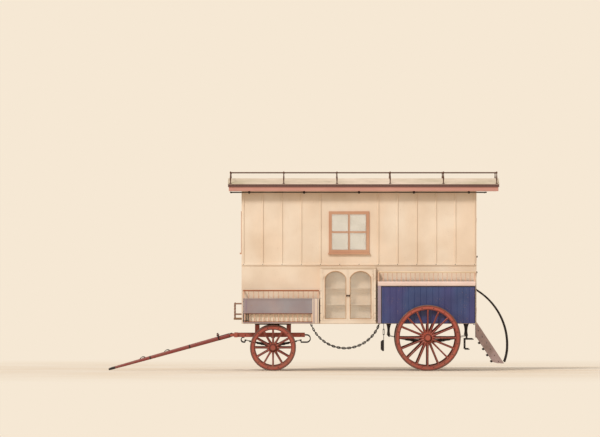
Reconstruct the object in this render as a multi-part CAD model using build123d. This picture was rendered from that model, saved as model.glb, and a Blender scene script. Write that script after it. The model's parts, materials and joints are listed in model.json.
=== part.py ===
from build123d import *
import math
import os

# A horse-drawn living and trading van. Lengths are millimetres and angles degrees.
# In this source X runs from the outside of the front wall towards the back, Y from the near side to the
# far side, and Z up from the ground. The finished model is centred on its own length at the end.

# Body
body_length = 4220
cabin_width = 1400
wall_thickness = 30
sill_underside = 846
sill_width = 70
sill_depth = 90
floor_board = 25
cross_bearers = 9
bearer_width = 60
rib_width = 26
rib_depth = 18
rib_chamfer = 6
rib_count = 13
waist_rail_z = 1900
waist_rail_height = 34

# Roof
eaves_z = 3312
roof_front_overhang = 252
roof_rear_overhang = 415
roof_side_overhang = 200
roof_rise = 110
roof_thickness = 50
fascia_depth = 72
fascia_thickness = 22
fascia_inset = 14
roof_rail_height = 200
roof_rail_radius = 9
roof_post_radius = 10
roof_post_foot = 20
roof_post_inset = 45
roof_side_posts = 6
roof_knob_radius = 18
roof_knob_height = 22

# Rail under the eaves, on both sides
hanging_rail_radius = 9
hanging_rail_reach = 150
hanging_rail_drop = 95
hanging_rail_front_inset = 36
hanging_rail_rear_inset = 225
hanging_rail_brackets = 5
hanging_bracket_inset = 130
hanging_arm_radius = 7

# Cases, cabinet and lockers along both sides
case_depth = 170
case_board = 22
case_underside = 855
front_case_start = 18
front_case_length = 1368
lower_gallery_top = 1037
front_panel_top = 1283
front_gallery_top = 1432
front_spindles = 14
cabinet_start = 1410
cabinet_length = 1000
cabinet_height = 1025
cabinet_shelves = (1190, 1485)
cabinet_stile = 45
cabinet_door_frame = 34
cornice_height = 40
cornice_depth = 18
board_nosing = 8
locker_start = 2448
locker_end_gap = 14
locker_top = 1530
locker_moulding = 80
locker_moulding_depth = 14
locker_boards = 16
board_groove = 8
board_groove_depth = 4
locker_gallery_top = 1765
locker_spindles = 20
gallery_rail = 26
spindle_radius = 11

# Doors, shutters and windows
swing_gap = 5
leaf_thickness = 26
hinge_pin_radius = 7
hinge_offset = 10
hinge_barrel = 64
hinge_knuckle = 26
hinge_knuckle_gap = 0.3
hinge_plate = 38
hinge_strap = 50
rear_hinge_inset = 130
cabinet_hinge_inset = 110
door_width = 620
door_height = 920
shutter_height = 960
door_threshold = 8
door_stile = 90
door_panel_recess = 8
shutter_stile = 60
knob_radius = 9
knob_length = 22
knob_z = 1354
side_window_x = 1930
side_window_width = 620
side_window_height = 640
side_window_sill = 2180
front_window_width = 520
window_frame = 55
window_frame_proud = 20
window_ledge = 26
window_ledge_proud = 42
glass_thickness = 4

# Wheels, axles and springs
front_wheel_x = 558
front_wheel_radius = 414
front_spokes = 12
front_track = 1560
rear_wheel_x = 3348
rear_wheel_radius = 594
rear_spokes = 16
rear_track = 1900
felloe_width = 56
felloe_depth = 74
tyre_thickness = 14
tyre_width = 60
hub_length = 220
hub_radius = 78
hub_nose_radius = 52
hub_back_radius = 58
hub_band = 16
hub_band_step = 5
hub_middle = 34
spoke_root = (42, 46)
spoke_tip = (30, 34)
spoke_tenon = 6
wheel_dish = 24
arm_radius = 25
arm_running_gap = 0.1
hub_end_gap = 0.5
axle_nut = 22
front_axle_square = 56
rear_axle_square = 64
spring_leaves = 6
spring_leaf = 8
spring_width = 58
front_spring_length = 1000
rear_spring_length = 1400
front_spring_y = 500
front_spring_camber = 62
rear_spring_camber = 80
spring_seat = 10
spring_iron_head = 44
spring_iron_waist = 18
shackle_width = 36
shackle_thickness = 16
scotch_bar = 18
scotch_top_z = 576
scotch_foot_z = 378
scotch_reach = 92

# Fore-carriage, which turns about the king pin
king_pin_radius = 18
king_pin_gap = 0.1
turntable_radius = 330
turntable_ring = 50
turntable_plate = 10
turntable_gap = 0.5
side_bar_width = 60
side_bar_depth = 70
side_bar_underside = 605
side_bar_front = 640
side_bar_rear = 576
scroll_radius = 74
scroll_front_radius = 53
scroll_band = 16
bolster_width = 80
bolster_offset = 285
king_block = 60
king_nut_radius = 34
king_nut = 20
turntable_cross = 80
shaft_ear = 12
shaft_ear_half = 26
splinter_width = 60
splinter_depth = 80
splinter_length = 1240

# Shafts
shaft_pivot_ahead = 55
shaft_pin_radius = 9
shaft_pin_gap = 0.1
shaft_length = 2300
shaft_root_y = 330
shaft_tip_y = 270
shaft_root_size = (62, 72)
shaft_tip_size = (34, 38)
shaft_stations = ((350, 0, 60, 70), (900, 6, 56, 64), (1400, 14, 50, 58), (1850, 4, 44, 50),
                  (2150, -30, 38, 42))
shaft_ear_gap = 1
shaft_bar_ahead = 210
shaft_bar_size = 50
swingletree_length = 760
swingletree_size = 46
swingletree_end = 27
swingletree_seat = 30
swingletree_lift = 16
swingletree_stud_head = 14
swingletree_gap = 1
swingletree_stud_radius = 12
swingletree_stud_gap = 0.1
trace_eye_radius = 12
trace_eye_wall = 12
trace_eye_thickness = 14

# Porch board and rails at the front
porch_length = 150
porch_board = 28
porch_z = 918
porch_post_height = 278
porch_post_radius = 14
porch_post_neck = 9
porch_post_beads = 5
porch_post_inset = 20
porch_rail_radius = 9
porch_rail_drops = (20, 210)

# Steps and handrails at the back
step_width = 560
step_foot_x = 514
step_foot_z = 126
stringer_toe = 70
step_top_z = 900
stringer_depth = 120
stringer_width = 32
step_count = 7
tread_thickness = 24
tread_depth = 195
tread_inset = 6
handrail_radius = 16
handrail_pin_radius = 11
handrail_y = 340
handrail_top_z = 1462
handrail_reach = 573
handrail_bulge_z = 420
handrail_foot_z = 168

# Slung chain and drag shoe
sling_start = 1242
sling_span = 1240
sling_sag = 448
sling_y = 520
hanger_radius = 8
shoe_x = 2560
shoe_y = 790
shoe_width = 92
shoe_height = 200
shoe_thickness = 12
chain_wire = 10
chain_width = 34
chain_gap = 0.5
chain_corner = 10
sling_links = 17
shoe_links = 3
shoe_flange = 60
shoe_corner = 30

half_cabin = cabin_width / 2
roof_width = cabin_width + 2 * roof_side_overhang
hanging_rail_y = half_cabin + hanging_rail_reach
case_face = half_cabin + case_depth
floor_top = sill_underside + sill_depth + floor_board
rear_face = body_length
roof_radius = (roof_width ** 2 / 4 + roof_rise ** 2) / (2 * roof_rise)
sling_radius = (sling_span ** 2 / 4 + sling_sag ** 2) / (2 * sling_sag)
sling_half_angle = math.asin(sling_span / 2 / sling_radius)
sling_step = 2 * sling_half_angle / sling_links
link_pitch = 2 * sling_radius * math.sin(sling_step / 2)

parts = {}


def block(x, y, z):
    """A box between two values on each axis."""
    size = [abs(b - a) for a, b in (x, y, z)]
    centre = [(a + b) / 2 for a, b in (x, y, z)]
    return Pos(*centre) * Box(*size)


def rod(start, end, radius):
    """A round bar from one point to another."""
    way = Vector(*end) - Vector(*start)
    return extrude(Plane(origin=start, z_dir=way) * Circle(radius), way.length)


def flat_rod(start, end, radius):
    """A thin bar with six sides, for rails that carry no moving piece."""
    way = Vector(*end) - Vector(*start)
    return extrude(Plane(origin=start, z_dir=way) * RegularPolygon(radius, 6), way.length)


def ringed(x, y, z0, rings, sides, turn=0):
    """An upright turned post with flat sides, through rings of (height, radius) above z0."""
    faces = [Plane.XY.offset(z) * RegularPolygon(radius, sides, rotation=turn) for z, radius in rings]
    return Pos(x, y, z0) * loft(faces, ruled=True)


def tapered(sections):
    """A straight-sided solid through rectangles: each section is (plane, width, height)."""
    faces = [plane * Rectangle(width, height) for plane, width, height in sections]
    return loft(faces, ruled=True)


def side_plate(outline, y0, y1):
    """A face drawn as (x, z), from y0 to y1 in thickness. It takes corner points, or lines and arcs."""
    edges = Polyline(*outline, close=True) if isinstance(outline[0], tuple) else outline
    return extrude(Plane.XZ.offset(-max(y0, y1)) * make_face(edges), abs(y1 - y0))


def end_plate(points, x0, x1):
    """An outline of (y, z) points, as thick as the way from x0 to x1."""
    outline = make_face(Polyline(*points, close=True))
    return extrude(Plane.YZ.offset(min(x0, x1)) * outline, abs(x1 - x0))


def far(shape):
    """The same piece on the far side."""
    return mirror(shape, about=Plane.XZ)


def spaced(first, last, count):
    """Evenly spaced places from first to last."""
    return [first + (last - first) * i / (count - 1) for i in range(count)]


def both_sides(name, shape):
    parts[name + "_near"] = shape
    parts[name + "_far"] = far(shape)


def paired(name, *solids):
    """Both sides in one node."""
    parts[name] = Compound(list(solids) + [far(s) for s in solids])


def roof_slab(y_half, rise_from, thickness, x0, x1):
    """A slab under the roof's arc: its underside starts at height rise_from at the eaves."""
    drop = roof_radius - math.sqrt(roof_radius ** 2 - y_half ** 2)
    crown = rise_from + roof_rise
    side = crown - drop
    under = ThreePointArc((-y_half, side), (0, crown), (y_half, side))
    over = ThreePointArc((y_half, side + thickness), (0, crown + thickness), (-y_half, side + thickness))
    face = make_face([under, Line(under @ 1, over @ 0), over, Line(over @ 1, under @ 0)])
    return extrude(Plane.YZ.offset(x0) * face, x1 - x0)


def spindle(x, y, z0, z1):
    """A spindle with four flats set cornerwise, widest a third of the way up."""
    height = z1 - z0
    foot = spindle_radius * 0.6
    return ringed(x, y, z0, [(0, foot), (height * 0.32, spindle_radius), (height, foot)], 4)


def gallery(x0, x1, y, z0, z1, count, rail):
    """A row of spindles, with a square post at each end."""
    posts = [block((x - rail / 2, x + rail / 2), (y - rail / 2, y + rail / 2), (z0, z1))
             for x in (x0 + rail / 2, x1 - rail / 2)]
    pitch = (x1 - x0 - rail) / (count + 1)
    turned = [spindle(x0 + rail / 2 + pitch * (i + 1), y, z0, z1) for i in range(count)]
    return posts + turned


def cabin_roof():
    x0 = -roof_front_overhang
    x1 = body_length + roof_rear_overhang
    parts["roof"] = roof_slab(roof_width / 2, eaves_z, roof_thickness, x0, x1)

    outer = roof_width / 2 - fascia_inset
    inner = outer - fascia_thickness
    bottom = eaves_z - fascia_depth
    top = eaves_z + roof_rise
    ring = block((x0 + fascia_inset, x1 - fascia_inset), (-outer, outer), (bottom, top))
    ring -= block((x0 + fascia_inset + fascia_thickness, x1 - fascia_inset - fascia_thickness),
                  (-inner, inner), (bottom, top))
    above = roof_slab(roof_width / 2, eaves_z, roof_rise * 2, x0, x1)
    parts["roof_fascia"] = ring - above


def roof_surface_z(y):
    """Height of the roof's upper side at a place across it."""
    drop = roof_radius - math.sqrt(roof_radius ** 2 - y ** 2)
    return eaves_z + roof_rise + roof_thickness - drop


def roof_rails():
    x0 = -roof_front_overhang + roof_post_inset
    x1 = body_length + roof_rear_overhang - roof_post_inset
    y = roof_width / 2 - roof_post_inset
    foot = roof_surface_z(y)
    top = foot + roof_rail_height
    rails = [flat_rod((x0, s * y, top), (x1, s * y, top), roof_rail_radius) for s in (-1, 1)]
    rails += [flat_rod((x, -y, top), (x, y, top), roof_rail_radius) for x in (x0, x1)]
    waist = roof_post_radius
    rings = [(-roof_post_foot, roof_post_foot), (waist, roof_post_foot), (roof_post_foot + waist, waist),
             (roof_rail_height - roof_rail_radius, waist),
             (roof_rail_height + roof_rail_radius, roof_knob_radius),
             (roof_rail_height + roof_knob_height, waist)]
    posts = [ringed(x, side * y, foot, rings, 4)
             for x in spaced(x0, x1, roof_side_posts) for side in (-1, 1)]
    above = roof_slab(roof_width / 2, eaves_z, roof_thickness, x0 - roof_post_inset, x1 + roof_post_inset)
    parts["roof_rail"] = rails[0].fuse(*rails[1:], *posts) - above


def floor():
    half = half_cabin - wall_thickness
    ends = (wall_thickness, body_length - wall_thickness)
    boards = block(ends, (-half, half), (sill_underside + sill_depth, floor_top))
    sills = [block(ends, (s * half, s * (half - sill_width)), (sill_underside, sill_underside + sill_depth))
             for s in (-1, 1)]
    bearers = [block((x - bearer_width / 2, x + bearer_width / 2), (-half, half),
                     (sill_underside, sill_underside + sill_depth))
               for x in spaced(ends[0] + bearer_width / 2, ends[1] - bearer_width / 2, cross_bearers)]
    parts["floor_frame"] = boards.fuse(*sills, *bearers)


def chamfered_rib(x, y0, z0, z1):
    """An upright rib on the outside of the wall, narrower at its face."""
    wide = rib_width / 2
    narrow = wide - rib_chamfer
    face = make_face(Polyline((x - wide, y0), (x + wide, y0), (x + narrow, y0 - rib_depth),
                              (x - narrow, y0 - rib_depth), close=True))
    return extrude(Plane.XY.offset(z0) * face, z1 - z0)


def side_walls():
    top = eaves_z + roof_rise
    y0 = -half_cabin
    y1 = -half_cabin + wall_thickness
    half_window = side_window_width / 2
    window_top = side_window_sill + side_window_height
    wall = block((0, body_length), (y0, y1), (sill_underside, top))
    rib_places = spaced(rib_width, body_length - rib_width, rib_count)
    ribs = [chamfered_rib(x, y0, waist_rail_z, top) for x in rib_places
            if abs(x - side_window_x) > half_window + window_frame + rib_width]
    rail_top = waist_rail_z + waist_rail_height
    waist = end_plate([(y0, waist_rail_z - rib_chamfer), (y0 - rib_depth, waist_rail_z),
                       (y0 - rib_depth, rail_top), (y0, rail_top + rib_chamfer)], 0, body_length)
    wall = wall.fuse(waist, *ribs)
    wall -= block((side_window_x - half_window, side_window_x + half_window), (y0 - rib_depth, y1),
                  (side_window_sill, window_top))
    wall -= roof_slab(roof_width / 2, eaves_z, roof_rise * 2, 0, body_length)
    both_sides("side_wall", wall)


def window_casing(width, height):
    """A frame with glazing bars and a ledge, on a wall that faces up, its middle at the origin."""
    frame = Rectangle(width + 2 * window_frame, height + 2 * window_frame) - Rectangle(width, height)
    bars = Rectangle(window_frame / 2, height) + Rectangle(width, window_frame / 2)
    low = -height / 2 - window_frame
    half = width / 2 + window_frame + window_ledge / 2
    ledge = block((-half, half), (low - window_ledge, low), (0, window_ledge_proud))
    return extrude(frame + bars, window_frame_proud).fuse(ledge)


def windows():
    y0 = -half_cabin
    mid_z = side_window_sill + side_window_height / 2
    window_top = side_window_sill + side_window_height
    side = Plane(origin=(side_window_x, y0, mid_z), x_dir=(1, 0, 0), z_dir=(0, -1, 0))
    front = Plane(origin=(0, 0, mid_z), x_dir=(0, -1, 0), z_dir=(-1, 0, 0))
    casing = side.location * window_casing(side_window_width, side_window_height)
    front_casing = front.location * window_casing(front_window_width, side_window_height)
    pane = block((side_window_x - side_window_width / 2, side_window_x + side_window_width / 2),
                 (y0, y0 + glass_thickness), (side_window_sill, window_top))
    front_pane = block((0, glass_thickness), (-front_window_width / 2, front_window_width / 2),
                       (side_window_sill, window_top))
    parts["window_frames"] = Compound([casing, far(casing), front_casing])
    parts["window_glass"] = Compound([pane, far(pane), front_pane])


def end_walls():
    half = half_cabin - wall_thickness
    top = eaves_z + roof_rise
    above = roof_slab(roof_width / 2, eaves_z, roof_rise * 2, -roof_front_overhang,
                      body_length + roof_rear_overhang)
    front = block((0, wall_thickness), (-half, half), (sill_underside, top))
    front -= block((0, wall_thickness), (-front_window_width / 2, front_window_width / 2),
                   (side_window_sill, side_window_sill + side_window_height))
    parts["front_wall"] = front - above

    half_door = door_width / 2 + swing_gap
    door_top = floor_top + door_threshold + door_height + shutter_height + 2 * swing_gap
    thick = (body_length - wall_thickness, body_length)
    rear = block(thick, (-half, half), (sill_underside, top))
    rear -= block(thick, (-half_door, half_door), (floor_top, door_top))
    parts["rear_wall"] = rear - above


def hinge_barrels(x, y, heights):
    """The moving halves of hinges on an upright axis."""
    half = hinge_barrel / 2
    return [rod((x, y, z - half), (x, y, z + half), hinge_pin_radius) for z in heights]


def hinge_straps(heights, plate_x, plate_y):
    """The plates that hold the moving barrels."""
    return [block(plate_x, plate_y, (z - hinge_strap / 2, z + hinge_strap / 2)) for z in heights]


def frame_knuckles(x, y, heights, plate_x, plate_y):
    """The frame's halves, each right under a moving barrel, with a plate that holds it."""
    solids = []
    for z in heights:
        top = z - hinge_barrel / 2 - hinge_knuckle_gap
        solids.append(rod((x, y, top - hinge_knuckle), (x, y, top), hinge_pin_radius))
        solids.append(block(plate_x, plate_y, (top - hinge_knuckle, top)))
    return solids


def rear_doors():
    x1 = rear_face
    x0 = rear_face - leaf_thickness
    half = door_width / 2
    axis_x = rear_face + hinge_offset
    z0 = floor_top + door_threshold
    z1 = z0 + door_height
    heights = (z0 + rear_hinge_inset, z1 - rear_hinge_inset)
    frame_plate = ((rear_face, axis_x), (-half - hinge_plate, -half - 2))
    strap = ((x1, axis_x), (-half, -half + door_stile))
    fixed = frame_knuckles(axis_x, -half, heights, *frame_plate)
    leaf = block((x0, x1), (-half, half), (z0, z1))
    middle_z = (z0 + z1) / 2
    for span in ((z0 + door_stile, middle_z - door_stile / 2), (middle_z + door_stile / 2, z1 - door_stile)):
        leaf -= block((x1 - door_panel_recess, x1), (-half + door_stile, half - door_stile), span)
    parts["lower_door"] = leaf.fuse(*hinge_barrels(axis_x, -half, heights), *hinge_straps(heights, *strap))

    s0 = z1 + swing_gap
    s1 = s0 + shutter_height
    inner = swing_gap / 2
    stile = shutter_stile
    leaf = block((x0, x1), (-half, -inner), (s0, s1))
    leaf -= block((x0, x1), (-half + stile, -inner - stile), (s0 + 2 * stile, s1 - stile))
    bar_z = (s0 + s1) / 2 + stile / 2
    leaf += block((x0, x1), (-half + stile, -inner - stile), (bar_z - stile / 4, bar_z + stile / 4))
    heights = (s0 + rear_hinge_inset, s1 - rear_hinge_inset)
    strap = ((x1, axis_x), (-half, -half + stile))
    shutter_fixed = frame_knuckles(axis_x, -half, heights, *frame_plate)
    fixed += shutter_fixed + [far(k) for k in shutter_fixed]
    parts["rear_wall"] = parts["rear_wall"].fuse(*fixed)
    leaf = leaf.fuse(*hinge_barrels(axis_x, -half, heights), *hinge_straps(heights, *strap))
    middle = (x0 + x1) / 2
    panes = [block((middle - glass_thickness / 2, middle + glass_thickness / 2),
                   (-half + stile, -inner - stile), span)
             for span in ((s0 + 2 * stile, bar_z - stile / 4), (bar_z + stile / 4, s1 - stile))]
    both_sides("shutter", leaf)
    parts["shutter_glass_near"] = Compound(panes)
    parts["shutter_glass_far"] = Compound([far(p) for p in panes])


def front_cases():
    x0 = front_case_start
    x1 = front_case_start + front_case_length
    y0 = -case_face
    y1 = -half_cabin
    b = case_board
    boards = [block((x0, x1), (y0 - board_nosing, y1), (z, z + b))
              for z in (case_underside, lower_gallery_top, front_panel_top)]
    ends = [block((x, x + b), (y0, y1), (case_underside, front_panel_top)) for x in (x0, x1 - b)]
    panel = block((x0, x1), (y0, y0 + b), (lower_gallery_top, front_panel_top))
    both_sides("front_case", boards[0].fuse(*boards[1:], *ends, panel))

    rail_z = front_gallery_top
    row_y = y0 + gallery_rail / 2
    upper = gallery(x0, x1, row_y, front_panel_top + b, rail_z, front_spindles, gallery_rail)
    rail = block((x0, x1), (y0, y0 + gallery_rail), (rail_z, rail_z + gallery_rail))
    returns = [block((x, x + gallery_rail), (y0, y1), (rail_z, rail_z + gallery_rail))
               for x in (x0, x1 - gallery_rail)]
    edge = gallery_rail / 2
    strip_z = (case_underside + b, lower_gallery_top - edge)
    lower = gallery(x0 + b, x1 - b, row_y, strip_z[0] + edge, strip_z[1], front_spindles, gallery_rail)
    strips = [block((x0 + b, x1 - b), (y0, y0 + gallery_rail), (z, z + edge)) for z in strip_z]
    paired("front_galleries", rail.fuse(*returns, *upper), strips[0].fuse(strips[1], *lower))


def cabinet_door_outline(x0, x1, z0, z1, inset):
    """A door's face with an arched head, drawn as (x, z), brought in by inset all round."""
    a, b = x0 + inset, x1 - inset
    low = z0 + inset
    spring = z1 - (x1 - x0) / 2 * 0.7
    crown = z1 - inset
    arch = ThreePointArc((b, spring), ((a + b) / 2, crown), (a, spring))
    sides = [Line((a, spring), (a, low)), Line((a, low), (b, low)), Line((b, low), (b, spring))]
    return make_face([*sides, arch])


def cabinets():
    x0 = cabinet_start
    x1 = cabinet_start + cabinet_length
    z0 = case_underside
    z1 = case_underside + cabinet_height
    y0 = -case_face
    y1 = -half_cabin
    b = case_board
    s = cabinet_stile
    box = block((x0, x1), (y0, y1), (z0, z1))
    box -= block((x0 + b, x1 - b), (y0 + b, y1), (z0 + b, z1 - b))
    box -= block((x0 + s, x1 - s), (y0, y0 + b), (z0 + s, z1 - s))
    shelves = [block((x0 + b, x1 - b), (y0 + 2 * b, y1), (z, z + b / 2)) for z in cabinet_shelves]
    low = z1 - cornice_height
    cornice = end_plate([(y0, low), (y0 - cornice_depth / 2, low + cornice_height / 4),
                         (y0 - cornice_depth, z1 - cornice_height / 3), (y0 - cornice_depth, z1), (y0, z1)],
                        x0, x1)

    a0 = x0 + s + swing_gap
    a1 = (x0 + x1) / 2 - swing_gap / 2
    d0 = z0 + s + swing_gap
    d1 = z1 - s - swing_gap
    frame = cabinet_door_frame
    outer = make_face(Polyline((a0, d0), (a1, d0), (a1, d1), (a0, d1), close=True))
    hole = cabinet_door_outline(a0, a1, d0, d1, frame)
    t = leaf_thickness * 0.8
    leaf = extrude(Plane.XZ.offset(-(y0 + t)) * (outer - hole), t)
    knob = flat_rod((a1 - frame / 2, y0 - knob_length, knob_z), (a1 - frame / 2, y0, knob_z), knob_radius)
    axis_y = y0 - hinge_offset
    heights = (d0 + cabinet_hinge_inset, d1 - cabinet_hinge_inset)
    fixed = frame_knuckles(a0, axis_y, heights, (a0 - hinge_plate, a0 - 2), (axis_y, y0))
    straps = hinge_straps(heights, (a0, a0 + frame - 4), (axis_y, y0))
    leaf = leaf.fuse(knob, *hinge_barrels(a0, axis_y, heights), *straps)
    middle = y0 + t / 2
    pane = extrude(Plane.XZ.offset(-(middle + glass_thickness / 2)) * hole, glass_thickness)
    about = Plane.YZ.offset((x0 + x1) / 2)
    both_sides("cabinet", box.fuse(cornice, *shelves, *fixed, *[mirror(k, about=about) for k in fixed]))
    doors = {"front": (leaf, pane), "rear": (mirror(leaf, about=about), mirror(pane, about=about))}
    for end, (door, glass) in doors.items():
        both_sides("cabinet_door_" + end, door)
        both_sides("cabinet_glass_" + end, glass)


def lockers():
    x0 = locker_start
    x1 = body_length - locker_end_gap
    y0 = -case_face
    y1 = -half_cabin
    b = case_board
    box_top = locker_top + b
    box = block((x0, x1), (y0, y1), (case_underside, box_top))
    box -= block((x0 + b, x1 - b), (y0 + b, y1), (case_underside + b, locker_top))
    corners = [(-board_groove / 2, y0), (board_groove / 2, y0), (0, y0 + board_groove_depth)]
    groove = make_face(Polyline(*corners, close=True))
    joint = extrude(Plane.XY.offset(case_underside) * groove, locker_top - case_underside)
    for x in spaced(x0, x1, locker_boards + 1)[1:-1]:
        box -= Pos(x, 0, 0) * joint
    rim = locker_top + locker_moulding
    proud = locker_moulding_depth
    both_sides("locker", box)
    moulding = end_plate([(y0, locker_top), (y0 - proud / 2, locker_top + proud),
                          (y0 - proud, rim - 2 * proud), (y0 - proud, rim - proud / 2),
                          (y0 - proud / 2, rim), (y0, rim)], x0, x1)
    lip = block((x0, x1), (y0, y0 + b), (box_top, rim))
    lips = [block((x, x + b), (y0, y1), (box_top, rim)) for x in (x0, x1 - b)]
    paired("locker_rims", moulding.fuse(lip, *lips))

    top = locker_gallery_top
    row = gallery(x0, x1, y0 + gallery_rail / 2, rim, top, locker_spindles, gallery_rail)
    rail = block((x0, x1), (y0, y0 + gallery_rail), (top, top + gallery_rail))
    returns = [block((x, x + gallery_rail), (y0, y1), (top, top + gallery_rail))
               for x in (x0, x1 - gallery_rail)]
    paired("locker_galleries", rail.fuse(*returns, *row))


def hanging_rails():
    z = eaves_z - hanging_rail_drop
    y = -hanging_rail_y
    x0 = -roof_front_overhang + hanging_rail_front_inset
    x1 = body_length + roof_rear_overhang - hanging_rail_rear_inset
    rail = flat_rod((x0, y, z), (x1, y, z), hanging_rail_radius)
    places = spaced(hanging_bracket_inset, body_length - hanging_bracket_inset, hanging_rail_brackets)
    arms = [flat_rod((x, y, z), (x, -half_cabin, z), hanging_arm_radius) for x in places]
    paired("hanging_rails", rail.fuse(*arms))


def wheel(radius, spokes, x, y, z, name):
    """A dished wooden wheel and its iron tyre, facing outwards at y. The hub has a flat for each spoke."""
    inner = radius - tyre_thickness - felloe_depth
    face = radius - tyre_thickness
    felloes = Cylinder(face, felloe_width) - Cylinder(inner, felloe_width)
    end = hub_length / 2
    flat = 180 / spokes
    band_back = hub_back_radius + hub_band_step
    band_nose = hub_nose_radius + hub_band_step
    rings = [(-end, hub_back_radius), (-hub_middle, hub_radius), (hub_middle, hub_radius),
             (end, hub_nose_radius)]
    hub = ringed(0, 0, 0, rings, spokes, flat)
    hub += ringed(0, 0, 0, [(-end, band_back), (-end + hub_band, band_back)], spokes, flat)
    hub += ringed(0, 0, 0, [(end - hub_band, band_nose), (end, band_nose)], spokes, flat)
    hub = Pos(0, 0, -wheel_dish) * hub
    tenon = hub_radius * math.cos(math.radians(flat)) - spoke_tenon
    tip_at = inner + spoke_tenon
    bars = []
    for i in range(spokes):
        way = Vector(tip_at - tenon, 0, wheel_dish)
        root = Plane(origin=(tenon, 0, -wheel_dish), z_dir=way, x_dir=(0, 1, 0))
        tip = Plane(origin=(tip_at, 0, 0), z_dir=way, x_dir=(0, 1, 0))
        bars.append(Rot(0, 0, 360 * i / spokes) * tapered([(root, *spoke_root), (tip, *spoke_tip)]))
    bore = Cylinder(arm_radius + arm_running_gap, hub_length)
    body = felloes.fuse(hub, *bars) - Pos(0, 0, -wheel_dish) * bore
    tyre = Cylinder(radius, tyre_width) - Cylinder(face, tyre_width)
    place = Plane(origin=(x, y, z), x_dir=(1, 0, 0), z_dir=(0, -1 if y < 0 else 1, 0))
    parts["wheel_" + name] = place.location * body
    parts["tyre_" + name] = place.location * tyre


def axle(square, x, z, track):
    """A square axle bed whose round arms pass through the hubs, with a nut at each end."""
    plane_y = track / 2
    hub_in = plane_y - wheel_dish - hub_length / 2
    hub_out = plane_y - wheel_dish + hub_length / 2
    collar = hub_in - hub_end_gap
    nut = hub_out + hub_end_gap
    bed = block((x - square / 2, x + square / 2), (-collar, collar), (z - square / 2, z + square / 2))
    ends = []
    for side in (-1, 1):
        ends.append(rod((x, side * collar, z), (x, side * nut, z), arm_radius))
        nut_end = side * (nut + axle_nut)
        ends.append(flat_rod((x, side * nut, z), (x, nut_end, z), hub_nose_radius - hub_band_step))
    return bed.fuse(*ends)


def leaf_spring(x, y, z_top, length, camber):
    """A stack of curved leaves, each shorter than the last. The ends of the first reach camber higher."""
    leaves = []
    for i in range(spring_leaves):
        half = length / 2 * (1 - 0.14 * i)
        low = -spring_leaf * (i + 1)
        rise = camber * (half / (length / 2)) ** 2
        under = ThreePointArc((-half, low + rise), (0, low), (half, low + rise))
        over = ThreePointArc((half, low + rise + spring_leaf), (0, low + spring_leaf),
                             (-half, low + rise + spring_leaf))
        leaves.append(side_plate([under, Line(under @ 1, over @ 0), over, Line(over @ 1, under @ 0)],
                                 -spring_width / 2, spring_width / 2))
    half = spring_width / 2
    seat = block((-half, half), (-half, half), (-spring_leaf, spring_seat))
    return Pos(x, y, z_top) * seat.fuse(*leaves)


def hanger(tip, eye_z, y):
    """A rear spring iron: a bracket under the sill, drawn in by an arc on each side to a waist."""
    foot = spring_width / 2
    top = spring_iron_head
    waist = spring_iron_waist
    mid_z = (eye_z + sill_underside) / 2
    edges = [Line((tip - foot, eye_z), (tip + foot, eye_z)),
             ThreePointArc((tip + foot, eye_z), (tip + waist, mid_z), (tip + top, sill_underside)),
             Line((tip + top, sill_underside), (tip - top, sill_underside)),
             ThreePointArc((tip - top, sill_underside), (tip - waist, mid_z), (tip - foot, eye_z))]
    return side_plate(edges, y - shackle_width / 2, y + shackle_width / 2)


def scotch_iron(x, y, top):
    """The bent iron behind the rear wheel: a link, a bar to the back, and a leg with a foot."""
    bar = scotch_bar
    half = bar / 2
    span_y = (y - half, y + half)
    link = block((x, x + bar), span_y, (scotch_top_z, top))
    arm = block((x - 2 * bar, x + 2 * bar + scotch_reach), span_y, (scotch_top_z - bar, scotch_top_z))
    leg = block((x - 2 * bar, x - bar), span_y, (scotch_foot_z, scotch_top_z))
    foot = block((x - 2 * bar, x - 2 * bar + scotch_reach), span_y, (scotch_foot_z, scotch_foot_z + bar))
    return [link, arm, leg, foot]


def running_gear():
    pairs = (("rear", rear_wheel_x, rear_wheel_radius, rear_spokes, rear_track),
             ("front", front_wheel_x, front_wheel_radius, front_spokes, front_track))
    for end, x, radius, spokes, track in pairs:
        wheel(radius, spokes, x, -track / 2, radius, end + "_near")
        wheel(radius, spokes, x, track / 2, radius, end + "_far")
    parts["rear_axle"] = axle(rear_axle_square, rear_wheel_x, rear_wheel_radius, rear_track)
    parts["front_axle"] = axle(front_axle_square, front_wheel_x, front_wheel_radius, front_track)

    rear_y = half_cabin - wall_thickness - sill_width / 2
    rear_top = rear_wheel_radius - rear_axle_square / 2 - spring_seat
    paired("rear_springs",
           leaf_spring(rear_wheel_x, -rear_y, rear_top, rear_spring_length, rear_spring_camber))
    eye_z = rear_top + rear_spring_camber
    tips = [rear_wheel_x + end * rear_spring_length / 2 for end in (-1, 1)]
    scotch = scotch_iron(tips[1] + 2, -rear_y, eye_z + spring_leaf)
    ahead, behind = [hanger(tip, eye_z, -rear_y) for tip in tips]
    paired("rear_spring_irons", ahead, behind.fuse(*scotch))

    front_top = front_wheel_radius + front_axle_square / 2 + spring_leaves * spring_leaf
    paired("front_springs",
           leaf_spring(front_wheel_x, -front_spring_y, front_top, front_spring_length, front_spring_camber))


def scroll(x, z, radius, y, way):
    """A flat iron bent round a half circle, open towards the wheel. It turns forwards where way is -1."""
    ring = Cylinder(radius, shackle_width) - Cylinder(radius - scroll_band, shackle_width)
    half = Pos(way * radius / 2, 0, 0) * Box(radius, 2 * radius, shackle_width)
    return Pos(x, y, z) * Rot(90, 0, 0) * (ring & half)


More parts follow.
